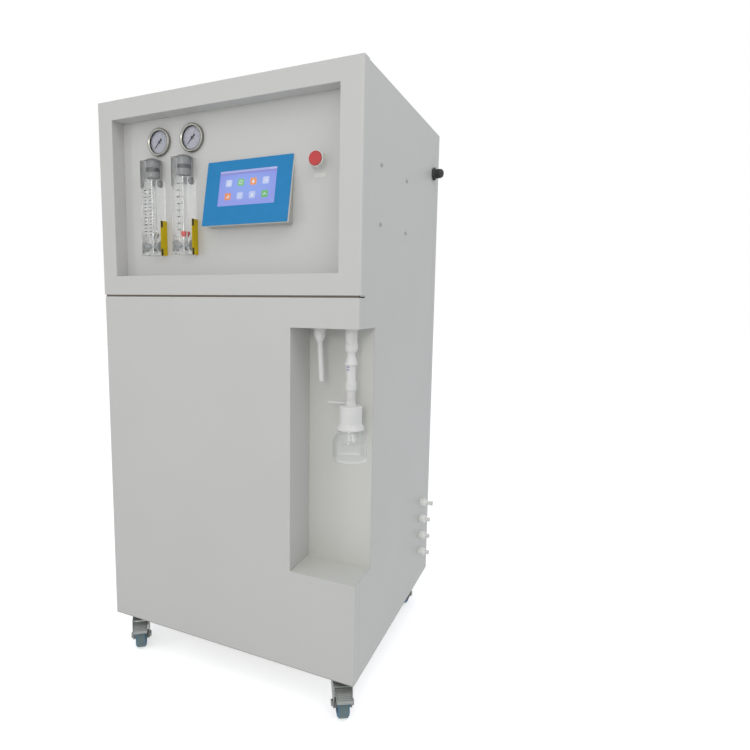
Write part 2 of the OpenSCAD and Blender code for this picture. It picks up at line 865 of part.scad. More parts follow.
module flow_plugs() {
    dome_r = (dome_d * dome_d / 4 + dome_h * dome_h) / (2 * dome_h);
    color("#6b6e70") cab() for (x = flow_xs)
        translate([x, flow_axis_y, 0]) difference() {
            union() {
                translate([0, 0, plug_z]) cylinder(h = plug_l + 1, d = plug_d);
                intersection() {
                    translate([0, 0, flow_top + dome_h - dome_r]) sphere(r = dome_r);
                    translate([0, 0, flow_top]) cylinder(h = dome_h, d = dome_d);
                }
            }
            translate([0, 0, plug_z - 1]) cylinder(h = plug_l / 2, d = rod_d + 2 * run_gap);
        }
}

module flow_ports() {
    grip = (flow_depth - bore_head_d) / 2;
    nut_d = rear_port_d + 12;
    color(white) cab() for (x = flow_xs, z = rear_port_zs)
        on_panel(x, z) {
            translate([0, 0, -grip]) cylinder(h = grip + sheet + flow_tail, d = rear_port_d);
            translate([0, 0, sheet]) cylinder(h = flow_nut_t, d = nut_d, $fn = 6);
        }
}

module flow_guide_rods() {
    top = plug_z + plug_l / 2 - 1;
    color(steel) cab() for (x = flow_xs)
        translate([x, flow_axis_y, rod_foot_z]) cylinder(h = top - rod_foot_z, d = rod_d);
}

// A float with a wide head and a tapered foot, sliding on its rod
module flow_float(x, tint) {
    head_h = float_h * 0.3;
    foot_d = float_d * 0.55;
    color(tint) cab() translate([x, flow_axis_y, float_rest_z]) difference() {
        union() {
            cylinder(h = float_h - head_h, d1 = foot_d, d2 = float_d);
            translate([0, 0, float_h - head_h]) cylinder(h = head_h, d = float_d);
        }
        translate([0, 0, -1]) cylinder(h = float_h + 2, d = rod_d + 4 * run_gap);
    }
}

module left_float() {
    flow_float(flow_xs[0], steel);
}

module right_float() {
    flow_float(flow_xs[1], "#d23a30");
}

// Touch display

module display_housing() {
    face_y = recess_d - display_lip;
    foot_y = face_y - display_l * sin(display_tilt);
    over = 9;
    color(white) cab() difference() {
        union() {
            translate([display_x0, 0, 0]) rotate([90, 0, 90]) linear_extrude(display_w)
                polygon([
                    [recess_d, display_z1],
                    [face_y, display_z1],
                    [foot_y, display_z0],
                    [recess_d, display_z0 - display_heel]
                ]);
            block([display_mid_x - display_cut_w / 2 + hairline, recess_d - 1, display_cut_z0 + hairline],
                  [display_mid_x + display_cut_w / 2 - hairline, panel_back + display_back,
                   display_cut_z1 - hairline]);
        }
        on_display() block([-display_w, -over, -display_l - over], [display_w, fascia_t, over]);
    }
}

module display_fascia() {
    color("#2b7fb8") cab() on_display() difference() {
        block([-display_w / 2, 0, -display_l], [display_w / 2, fascia_t, -fascia_t]);
        block([-screen_w / 2, -1, -screen_top - screen_h], [screen_w / 2, fascia_t + 1, -screen_top]);
    }
}

module display_screen() {
    gap = hairline / 2;
    color("#9aa0e6") cab() on_display()
        block([gap - screen_w / 2, hairline, gap - screen_top - screen_h],
              [screen_w / 2 - gap, fascia_t, -screen_top - gap]);
}

// Push button

module button_collar() {
    nut_d = button_body_d + 10;
    bore_l = button_block_y - recess_d + collar_proud;
    color(white) cab() on_panel(button_x, button_z) difference() {
        union() {
            translate([0, 0, -collar_proud]) cylinder(h = collar_proud, d = collar_d);
            translate([0, 0, -1]) cylinder(h = button_block_y - recess_d + 1, d = button_body_d);
            translate([0, 0, sheet]) cylinder(h = button_nut_t, d = nut_d, $fn = 6);
        }
        translate([0, 0, -collar_proud - 1]) cylinder(h = collar_proud + 1 - collar_floor, d = collar_bore_d);
        translate([0, 0, -collar_proud]) cylinder(h = bore_l + 1, d = cap_stem_d + 2 * run_gap);
    }
}

module button_cap() {
    face = -collar_proud - cap_proud;
    stem_end = button_block_y - recess_d - cap_travel - 2 * cap_stop;
    color("#cf3b36") cab() on_panel(button_x, button_z) {
        translate([0, 0, face]) cylinder(h = cap_t, d = cap_d);
        translate([0, 0, face + cap_t / 2]) cylinder(h = stem_end - face - cap_t / 2, d = cap_stem_d);
    }
}

module button_contact_block() {
    half = button_block_w / 2;
    color(dark) cab()
        block([button_x - half, button_block_y, button_z - half],
              [button_x + half, button_block_y + button_block_w, button_z + half]);
}

// Right side fittings

module cable_gland() {
    base_h = 7;
    nut_d = gland_d * 0.72;
    nose = nut_d / 2;
    color("#1c1c1e") cab() on_side(gland_y, gland_z) difference() {
        union() {
            cylinder(h = base_h, d = gland_d);
            cylinder(h = gland_proud - nose, d = nut_d);
            translate([0, 0, gland_proud - nose]) sphere(d = nut_d);
            translate([0, 0, -gland_tail]) cylinder(h = gland_tail + 1, d = gland_thread_d);
            translate([0, 0, -sheet - gland_nut_t]) cylinder(h = gland_nut_t, d = gland_d, $fn = 6);
        }
        translate([0, 0, -gland_tail - 1]) cylinder(h = gland_tail + gland_proud + 2, d = gland_bore_d);
    }
}

module water_ports() {
    straight = port_proud * 0.55;
    nose_d = port_d - 7;
    nut_d = port_d + 4;
    nut_t = 6;
    color(white) cab() for (z = port_zs)
        on_side(port_y, z) difference() {
            union() {
                cylinder(h = straight, d = port_d);
                translate([0, 0, straight]) cylinder(h = port_proud - straight, d1 = port_d, d2 = nose_d);
                translate([0, 0, -port_tail]) cylinder(h = port_tail + 1, d = port_thread_d);
                translate([0, 0, -sheet - nut_t]) cylinder(h = nut_t, d = nut_d, $fn = 6);
            }
            translate([0, 0, port_proud - stub_seat])
                cylinder(h = port_proud, d = stub_root_d + 2 * seat_gap);
        }
}

// Each stub shoulders on its port's face and goes into the port on a thinner root
module port_stubs() {
    bore = stub_root_d - 2 * stub_wall;
    color(white) cab() for (i = [0 : 3])
        on_side(port_y, port_zs[i]) translate([0, 0, port_proud]) {
            ring(stub_l + (i == 3 ? stub_extra : 0), stub_d, bore);
            translate([0, 0, stub_step - stub_seat]) ring(stub_seat, stub_root_d, bore);
        }
}

// Dispensing niche

module outlet_cup() {
    taper = outlet_cup_h * 0.35;
    bore = outlet_tube_d + 2 * outlet_play;
    mouth_d = bore + 2 * outlet_wall;
    color(white) cab() translate([outlet_x, outlet_y, outlet_z]) difference() {
        union() {
            cylinder(h = taper, d1 = mouth_d, d2 = outlet_cup_d);
            translate([0, 0, taper]) cylinder(h = outlet_cup_h - taper, d = outlet_cup_d);
            translate([0, 0, outlet_cup_h - 1]) cylinder(h = spigot_l + 1, d = spigot_d);
        }
        translate([0, 0, -1]) cylinder(h = outlet_grip + 2, d = bore);
    }
}

module outlet_tube() {
    color(white) cab() translate([outlet_x, outlet_y, outlet_z + outlet_grip]) rotate([0, -outlet_lean, 0])
        translate([0, 0, -outlet_grip - outlet_tube_l])
            ring(outlet_grip + outlet_tube_l, outlet_tube_d, outlet_tube_d - 2 * outlet_wall);
}

module filter_adapter() {
    ring_d = adapter_d + 1.2;
    ring_foot_d = adapter_d - 4;
    bevel = ring_h / 3;
    color(white) cab() translate([filter_x, filter_y, 0]) {
        translate([0, 0, ring_z]) cylinder(h = adapter_l, d = adapter_d);
        translate([0, 0, waist_z]) cylinder(h = bevel, d1 = ring_foot_d, d2 = ring_d);
        translate([0, 0, waist_z + bevel]) cylinder(h = ring_h - bevel, d = ring_d);
        translate([0, 0, valve_top]) cylinder(h = waist_h + 1, d = waist_d);
        translate([0, 0, niche_z1 - 1]) cylinder(h = spigot_l + 1, d = spigot_d);
    }
}

module check_valve() {
    rim_h = 3;
    cone_top_d = waist_d + 1;
    color(white) cab() translate([filter_x, filter_y, 0]) difference() {
        union() {
            translate([0, 0, valve_z + rim_h]) cylinder(h = cone_h - rim_h, d1 = cone_d, d2 = cone_top_d);
            translate([0, 0, valve_z]) cylinder(h = rim_h, d = cone_d);
            translate([0, 0, collar_z]) cylinder(h = valve_l + 1, d = valve_d);
            translate([0, 0, stem_z]) cylinder(h = valve_collar_h, d = valve_collar_d);
        }
        translate([0, 0, stem_z - 1]) cylinder(h = stem_seat + 1, d = stem_d + 2 * seat_gap);
    }
}

module filter_stem() {
    color(white) cab() translate([filter_x, filter_y, neck_z - stem_seat + 1])
        ring(stem_l + 2 * stem_seat - 1, stem_d, stem_d - 2 * stem_wall);
}

module filter_cap() {
    nozzle_d = 13;
    nozzle_wall = 2.5;
    nozzle_l = bell_h * 0.35;
    crown = 5;
    rim_h = 4;
    color(white) cab() translate([filter_x, filter_y, 0]) difference() {
        union() {
            translate([0, 0, cap_top - 1]) cylinder(h = neck_h + 1, d = neck_d);
            translate([0, 0, cap_top - crown])
                cylinder(h = crown, d1 = filter_cap_d, d2 = filter_cap_d - 2 * crown);
            translate([0, 0, flange_top - 1]) cylinder(h = filter_cap_h - crown + 1, d = filter_cap_d);
            translate([0, 0, bell_top]) cylinder(h = rim_h, d = filter_flange_d);
            translate([0, 0, bell_top + rim_h])
                cylinder(h = filter_flange_h - rim_h, d1 = filter_flange_d, d2 = filter_cap_d);
            translate([0, 0, bell_top - nozzle_l]) cylinder(h = nozzle_l + 1, d = nozzle_d);
        }
        translate([0, 0, neck_z - stem_seat + 1]) cylinder(h = neck_h, d = stem_d + 2 * seat_gap);
        translate([0, 0, bell_z]) cylinder(h = neck_z - bell_z, d = nozzle_d - 2 * nozzle_wall);
        translate([vent_seat - neck_d / 2, 0, vent_z]) rotate([0, -90, 0])
            cylinder(h = neck_d, d = vent_d + 2 * seat_gap);
    }
}

module filter_vent() {
    start = neck_d / 2 - vent_seat;
    color(white) cab() translate([filter_x - start, filter_y, vent_z]) rotate([0, -90, 0])
        ring(vent_l - start, vent_d, vent_d - 2 * vent_wall);
}

// Revolved dome with a neck under the cap's flange and an open foot
module filter_bell() {
    neck_r = filter_flange_d / 2 - 5;
    out_r = bell_d / 2;
    shoulder = bell_h * 0.48;
    color(clear, 0.45) cab() translate([filter_x, filter_y, bell_z]) difference() {
        union() {
            cylinder(h = bell_h - shoulder, r = out_r);
            translate([0, 0, bell_h - shoulder]) bell_dome(out_r, neck_r, shoulder);
        }
        translate([0, 0, -1]) cylinder(h = bell_h - shoulder + 1, r = out_r - bell_wall);
        translate([0, 0, bell_h - shoulder - 0.01])
            bell_dome(out_r - bell_wall, neck_r - bell_wall, shoulder + 0.02);
    }
}

// A quarter arc shoulder between a foot radius and a neck radius
module bell_dome(foot_r, neck_r, h) {
    reach = foot_r - neck_r;
    rise = (reach * reach + h * h) / (2 * reach);
    sweep = asin(h / rise);
    rotate_extrude() polygon(concat(
        [[0, 0]],
        [for (i = [0 : 12]) [foot_r - rise + rise * cos(sweep * i / 12), rise * sin(sweep * i / 12)]],
        [[0, h]]
    ));
}

// Casters

module caster_plates() {
    head_z = crown_z - fork_t - 2 * race_gap - kingpin_head_h;
    color(steel) placed() at_plates() difference() {
        union() {
            translate([-plate_w / 2, -plate_w / 2, plate_z]) cube([plate_w, plate_w, plate_t]);
            translate([0, 0, plate_z - race_h]) cylinder(h = race_h + 1, d = race_d);
            translate([0, 0, head_z]) cylinder(h = plate_z - head_z - 1, d = kingpin_d);
            translate([0, 0, head_z]) cylinder(h = kingpin_head_h, d = kingpin_head_d);
        }
        at_plate_bolts() translate([0, 0, plate_z - 1])
            cylinder(h = plate_t + 2, d = plate_bolt_d + 2 * bolt_gap);
    }
}

module caster_bolts() {
    head_h = 4;
    nut_h = 5;
    head_d = plate_bolt_d * 1.75;
    color(steel) placed() at_plates() at_plate_bolts() {
        translate([0, 0, plate_z - head_h]) cylinder(h = head_h, d = head_d, $fn = 6);
        translate([0, 0, plate_z - 1]) cylinder(h = plate_t + base_t + nut_h + 2, d = plate_bolt_d);
        translate([0, 0, caster_h + base_t]) cylinder(h = nut_h, d = head_d, $fn = 6);
    }
}

// Side outline of a fork leg, from the crown and its roof down to the axle
module leg_outline() {
    polygon([
        [-crown_d / 2 + 3, crown_z],
        [roof_x, crown_z],
        [roof_x, pedal_z - 6],
        [trail + 10, wheel_r + 4],
        [trail + 7, wheel_r - 8],
        [trail - 7, wheel_r - 8],
        [trail - 10, wheel_r + 4],
        [-crown_d / 2 + 3, crown_z - 10]
    ]);
}

module fork(ix, iy, braked) {
    nut_h = 3.5;
    nut_d = axle_d * 1.7;
    axle_l = fork_w + 2 * nut_h + 2 * axle_play;
    color("#9a9c9e") placed() at_caster(ix, iy) {
        difference() {
            union() {
                translate([0, 0, crown_z - fork_t]) linear_extrude(fork_t) {
                    intersection() {
                        translate([-crown_d / 2, -fork_w / 2]) square([crown_d, fork_w]);
                        circle(d = crown_d + 8);
                    }
                    translate([0, -fork_w / 2]) square([roof_x, fork_w]);
                }
                for (y = [-fork_w / 2, leg_in])
                    translate([0, y + fork_t, 0]) rotate([90, 0, 0]) linear_extrude(fork_t) leg_outline();
            }
            translate([0, 0, crown_z - fork_t - 1]) cylinder(h = fork_t + 2, d = kingpin_d + 2 * run_gap);
            translate([trail, -fork_w, wheel_r]) rotate([-90, 0, 0])
                cylinder(h = 2 * fork_w, d = axle_d + 2 * seat_gap);
            if (braked)
                translate([pedal_x, -fork_w, pedal_z]) rotate([-90, 0, 0])
                    cylinder(h = 2 * fork_w, d = pedal_pin_d + 2 * run_gap);
        }
        translate([trail, -axle_l / 2, wheel_r]) rotate([-90, 0, 0]) {
            cylinder(h = axle_l, d = axle_d);
            cylinder(h = nut_h, d = nut_d, $fn = 6);
            translate([0, 0, axle_l - nut_h]) cylinder(h = nut_h, d = nut_d, $fn = 6);
        }
    }
}

module front_left_fork() {
    fork(0, 0, true);
}

module front_right_fork() {
    fork(1, 0, true);
}

module rear_left_fork() {
    fork(0, 1, false);
}

module rear_right_fork() {
    fork(1, 1, false);
}

// A crowned wheel with a recessed web and a hub that runs on the axle
module wheel(ix, iy) {
    crown = 3;
    rim_r = wheel_r - 8;
    hub_r = 10;
    web_half = 4;
    bore_r = axle_d / 2 + run_gap;
    half = wheel_w / 2;
    color("#4d7f9a") placed() at_caster(ix, iy) translate([trail, 0, wheel_r]) rotate([90, 0, 0])
        rotate_extrude() polygon([
            [bore_r, -hub_w / 2], [hub_r, -hub_w / 2], [hub_r, -web_half], [rim_r, -web_half],
            [rim_r, -half], [wheel_r - crown, -half], [wheel_r, -half / 2],
            [wheel_r, half / 2], [wheel_r - crown, half], [rim_r, half],
            [rim_r, web_half], [hub_r, web_half], [hub_r, hub_w / 2], [bore_r, hub_w / 2]
        ]);
}

module front_left_wheel() {
    wheel(0, 0);
}

module front_right_wheel() {
    wheel(1, 0);
}

module rear_left_wheel() {
    wheel(0, 1);
}

module rear_right_wheel() {
    wheel(1, 1);
}

// A tread plate that slopes down over the wheel from its pin to a ribbed lip
module brake_pedal(ix) {
    half = pedal_w / 2;
    side = half - pedal_step;
    barrel_d = pedal_pin_d + 4;
    tread = barrel_d / 2 - pedal_step;
    color("#a8aaac") placed() at_caster(ix, 0) translate([pedal_x, 0, pedal_z]) {
        rotate([0, pedal_slope, 0]) {
            block([0, -side, tread - pedal_t], [pedal_reach, side, tread]);
            block([pedal_reach - pedal_t, -side, tread - pedal_lip_h], [pedal_reach, side, tread]);
        }
        rotate([90, 0, 180]) translate([0, 0, -half]) cylinder(h = pedal_w, d = barrel_d);
        rotate([90, 0, 180]) translate([0, 0, -fork_w / 2]) cylinder(h = fork_w, d = pedal_pin_d);
    }
}

module left_brake_pedal() {
    brake_pedal(0);
}

module right_brake_pedal() {
    brake_pedal(1);
}

// Pieces inside the cabinet

module prefilter_housings() {
    cap_z = prefilter_h - prefilter_cap_h;
    port_z1 = prefilter_h - prefilter_cap_h / 2;
    color("#e8ebee") cab() for (i = [0 : 2])
        translate([prefilter_xs[i], prefilter_y, base_t]) {
            cylinder(h = cap_z + 1, d = prefilter_d);
            translate([0, 0, cap_z]) cylinder(h = prefilter_cap_h, d = prefilter_cap_d);
            if (i < 2)
                translate([0, 0, port_z1]) rotate([0, 90, 0]) cylinder(h = link_half, d = boss_d);
            if (i > 0)
                translate([0, 0, port_z1]) rotate([0, -90, 0]) cylinder(h = link_half, d = boss_d);
        }
}

module membrane_vessels() {
    end_h = 40;
    color("#e4e6e8") cab() for (x = vessel_xs)
        translate([x, vessel_y, base_t]) {
            cylinder(h = vessel_h, d = vessel_d);
            cylinder(h = end_h, d = vessel_end_d);
            translate([0, 0, vessel_h - end_h]) cylinder(h = end_h, d = vessel_end_d);
        }
}

module polishing_cartridges() {
    end_h = 30;
    tube_wall_d = cartridge_d - 8;
    color("#dfe6ee") cab() for (x = cartridge_xs)
        translate([x, cartridge_y, base_t]) {
            cylinder(h = cartridge_h, d = tube_wall_d);
            cylinder(h = end_h, d = cartridge_d);
            translate([0, 0, cartridge_h - end_h]) cylinder(h = end_h, d = cartridge_d);
        }
}

module booster_pump() {
    foot_w = pump_d + 15;
    foot_t = 4;
    motor_h = pump_h * 0.68;
    head_d = pump_d - 14;
    color("#55585c") cab() translate([pump_x, pump_y, base_t]) {
        translate([-foot_w / 2, -foot_w / 2, 0]) cube([foot_w, foot_w, foot_t]);
        translate([0, 0, foot_t / 2]) cylinder(h = motor_h, d = pump_d);
        translate([0, 0, motor_h]) cylinder(h = pump_h - motor_h, d = head_d);
        translate([0, 0, port_z - base_t]) rotate([-90, 0, 0]) cylinder(h = pump_port_l, d = boss_d);
    }
}

module solenoid_valves() {
    body_w = 44;
    body_h = 30;
    coil_d = 30;
    coil_h = 45;
    color("#8b6a3c") cab() for (x = solenoid_xs)
        translate([x, solenoid_y, base_t]) {
            translate([-body_w / 2, -body_h / 2, 0]) cube([body_w, body_h, body_h]);
            translate([0, 0, body_h - 1]) cylinder(h = coil_h + 1, d = coil_d);
        }
}

// A run of tube with elbow fittings at its corners
module tube_run(points) {
    last = len(points) - 1;
    for (i = [0 : last - 1])
        bar(points[i], points[i + 1], tube_d);
    for (i = [1 : last - 1])
        translate(points[i]) rotate([0, 0, elbow_turn]) sphere(d = elbow_d);
}

module process_tubing() {
    pump_top = base_t + pump_h;
    over_z = vessel_h + 4 * tube_d;
    ceiling_z = niche_z1 + spigot_l + 1.5 * tube_d;
    link_z = base_t + prefilter_h - prefilter_cap_h / 2;
    color(white) cab() {
        tube_run([
            [half_w - port_tail, port_y, port_z],
            [feed_x, port_y, port_z],
            [feed_x, feed_y, port_z],
            [pump_x, feed_y, port_z],
            [pump_x, pump_y + pump_port_l, port_z]
        ]);
        tube_run([
            [pump_x, pump_y, pump_top],
            [pump_x, pump_y, over_z],
            [vessel_xs[1], pump_y, over_z],
            [vessel_xs[1], vessel_y, over_z],
            [vessel_xs[1], vessel_y, base_t + vessel_h]
        ]);
        tube_run([
            [cartridge_xs[1], cartridge_y, base_t + cartridge_h],
            [cartridge_xs[1], cartridge_y, ceiling_z],
            [filter_x, cartridge_y, ceiling_z],
            [filter_x, filter_y, ceiling_z],
            [filter_x, filter_y, niche_z1 + spigot_l]
        ]);
        for (i = [0 : 1])
            bar([prefilter_xs[i] + link_half, prefilter_y, link_z],
                [prefilter_xs[i + 1] - link_half, prefilter_y, link_z], tube_d);
    }
}

module power_supply() {
    plate_y = supply_pitch_y / 2 + supply_lap;
    plate_h = supply_pitch_z / 2 + supply_lap;
    box_y = supply_pitch_y / 2 - supply_lap;
    box_h = supply_pitch_z / 2 - supply_lap;
    face = side_in - supply_plate_t;
    color(steel) cab() difference() {
        union() {
            block([face, supply_y - plate_y, supply_z - plate_h],
                  [side_in, supply_y + plate_y, supply_z + plate_h]);
            block([face - supply_depth, supply_y - box_y, supply_z - box_h],
                  [face + 1, supply_y + box_y, supply_z + box_h]);
        }
        at_side_screws() translate([0, 0, -sheet - supply_plate_t - 1])
            cylinder(h = supply_plate_t + 2, d = screw_d + 2 * run_gap);
    }
}

module control_board() {
    deck = post_h + board_t / 2;
    color("#2f6b45") cab() translate([-half_w / 2, (cab_d - board_d) / 2, shelf_z]) {
        for (x = [board_inset, board_w - board_inset], y = [board_inset, board_d - board_inset])
            translate([x, y, 0]) cylinder(h = deck, d = post_d);
        translate([0, 0, post_h]) cube([board_w, board_d, board_t]);
        translate([3 * board_inset, 3 * board_inset, deck]) cube([heat_sink_w, heat_sink_d, heat_sink_h]);
        translate([board_w - relay_w - 2 * board_inset, board_d / 4, deck]) cube([relay_w, relay_d, relay_h]);
    }
}

base_pan();
lower_front_panel();
upper_front_frame();
left_side_panel();
right_side_panel();
back_cover();
top_cover();
mid_shelf();
control_panel();
niche_liner();
panel_screws();
gauge_cases();
gauge_dials();
gauge_lenses();
left_gauge_pointer();
right_gauge_pointer();
left_flow_body();
right_flow_body();
flow_plugs();
flow_ports();
flow_guide_rods();
left_float();
right_float();
display_housing();
display_fascia();
display_screen();
button_collar();
button_cap();
button_contact_block();
cable_gland();
water_ports();
port_stubs();
outlet_cup();
outlet_tube();
filter_adapter();
check_valve();
filter_stem();
filter_cap();
filter_vent();
filter_bell();
caster_plates();
caster_bolts();
front_left_fork();
front_right_fork();
rear_left_fork();
rear_right_fork();
front_left_wheel();
front_right_wheel();
rear_left_wheel();
rear_right_wheel();
left_brake_pedal();
right_brake_pedal();
prefilter_housings();
membrane_vessels();
polishing_cartridges();
booster_pump();
solenoid_valves();
process_tubing();
power_supply();
control_board();
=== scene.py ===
"""Looks of a laboratory pure water cabinet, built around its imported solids.

Lengths are millimetres in the part's own frame: front is -Y, right is +X, up is +Z. The stage is in metres.
"""

import json
import math

import bmesh
import bpy
from mathutils import Matrix, Vector

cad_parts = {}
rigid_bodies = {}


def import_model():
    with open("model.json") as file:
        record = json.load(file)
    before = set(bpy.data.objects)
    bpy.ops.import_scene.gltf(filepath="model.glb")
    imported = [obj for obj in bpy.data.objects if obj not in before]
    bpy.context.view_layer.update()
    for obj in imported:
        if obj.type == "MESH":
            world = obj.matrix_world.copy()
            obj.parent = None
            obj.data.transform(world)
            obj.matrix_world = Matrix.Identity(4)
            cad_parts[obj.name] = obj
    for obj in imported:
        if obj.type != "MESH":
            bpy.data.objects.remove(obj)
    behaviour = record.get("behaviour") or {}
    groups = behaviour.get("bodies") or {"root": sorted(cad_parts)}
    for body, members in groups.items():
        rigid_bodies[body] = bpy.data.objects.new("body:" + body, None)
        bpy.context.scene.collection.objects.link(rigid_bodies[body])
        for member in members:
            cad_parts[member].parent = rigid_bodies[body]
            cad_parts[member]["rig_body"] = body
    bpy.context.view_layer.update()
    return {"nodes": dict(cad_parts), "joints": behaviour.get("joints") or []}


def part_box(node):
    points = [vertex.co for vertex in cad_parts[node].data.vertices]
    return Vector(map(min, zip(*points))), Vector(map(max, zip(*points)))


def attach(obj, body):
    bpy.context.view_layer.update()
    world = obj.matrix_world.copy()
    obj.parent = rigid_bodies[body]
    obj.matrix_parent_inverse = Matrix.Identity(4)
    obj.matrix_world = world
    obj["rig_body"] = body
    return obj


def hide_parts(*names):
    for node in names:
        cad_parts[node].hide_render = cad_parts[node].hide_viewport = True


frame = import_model()
nodes = frame["nodes"]
joints = {joint["name"]: joint for joint in frame["joints"]}
MM = 0.001
SHEET_T = 1.5
SIDES = ("left", "right")


# Measures taken from the frame

def box_mm(node):
    """Lowest and highest corner of a node."""
    low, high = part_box(node)
    return low / MM, high / MM


def middle(node):
    """Centre of a node's box."""
    low, high = box_mm(node)
    return (low + high) / 2


def joint_mm(name):
    """The point that a joint turns about."""
    return Vector(joints[name]["pos_m"]) / MM


PANEL_FACE = box_mm("control_panel")[0].y
SIDE_FACE = box_mm("right_side_panel")[1].x
REAR_FACE = box_mm("back_cover")[1].y


# Places: local frames that pieces are made in

def place(origin, x, y, z):
    """A local frame given by its origin and its three axes."""
    turn = Matrix((x, y, z)).transposed()
    return Matrix.Translation(origin) @ turn.to_4x4()


def facing_front(origin):
    """Local Z comes out of the front."""
    return place(origin, (1, 0, 0), (0, 0, 1), (0, -1, 0))


def facing_right(origin):
    """Local Z comes out of the right side."""
    return place(origin, (0, 1, 0), (0, 0, 1), (1, 0, 0))


def facing_back(origin):
    """Local Z comes out of the rear."""
    return place(origin, (-1, 0, 0), (0, 0, 1), (0, 1, 0))


def upright(origin):
    """Local Z points up."""
    return Matrix.Translation(origin)


# Outlines

ARC_STEPS = 5
HEXAGON_STEPS = 3
MITRE_LIMIT = 0.3


def rounded(corners, steps=ARC_STEPS):
    """An outline of (x, y, radius) corners, each rounded by an arc; the last corner leads on to the first."""
    outline = []
    for i, (x, y, radius) in enumerate(corners):
        here = Vector((x, y))
        if radius == 0:
            outline.append(here)
            continue
        before = (Vector(corners[i - 1][:2]) - here).normalized()
        after = (Vector(corners[(i + 1) % len(corners)][:2]) - here).normalized()
        half = before.angle(after) / 2
        centre = here + (before + after).normalized() * radius / math.sin(half)
        start = here + before * radius / math.tan(half) - centre
        end = here + after * radius / math.tan(half) - centre
        sweep = math.atan2(start.x * end.y - start.y * end.x, start.dot(end))
        for step in range(steps + 1):
            outline.append(centre + Matrix.Rotation(sweep * step / steps, 2) @ start)
    return outline


def rectangle(width, height, radius):
    """A rectangle about the origin, counter-clockwise, with rounded corners."""
    x, y = width / 2, height / 2
    return rounded([(-x, -y, radius), (x, -y, radius), (x, y, radius), (-x, y, radius)])


def hexagon(radius, corner, turn=0.0):
    """A six-sided outline of a radius across its corners."""
    angles = [turn + math.tau * i / 6 for i in range(6)]
    return rounded([(radius * math.cos(a), radius * math.sin(a), corner) for a in angles], HEXAGON_STEPS)


def arc(centre, radius, start, end, steps):
    """Points along an arc, with its angles in degrees."""
    angles = [math.radians(start + (end - start) * i / steps) for i in range(steps + 1)]
    return [(centre[0] + radius * math.cos(a), centre[1] + radius * math.sin(a)) for a in angles]


def inset(outline, distance):
    """A counter-clockwise outline moved inwards, with a limit to the way of its sharp corners."""
    moved = []
    for i, here in enumerate(outline):
        here = Vector(here)
        before = (here - Vector(outline[i - 1])).normalized()
        after = (Vector(outline[(i + 1) % len(outline)]) - here).normalized()
        inward = Vector((-before.y - after.y, before.x + after.x)).normalized()
        share = max(inward.dot(Vector((-before.y, before.x))), MITRE_LIMIT)
        moved.append(here + inward * distance / share)
    return moved


# Meshes

SHARP_ANGLE = math.radians(35)
CUT_ANGLE = math.radians(30)
FLAT_ANGLE = math.radians(1)
WELD = 0.01
NUMBER_WELD = 1e-4
EDGE_SEGMENTS = 2
EDGE_MIDDLE = 0.3
TURN_STEPS = 64
BAND_STEPS = 48


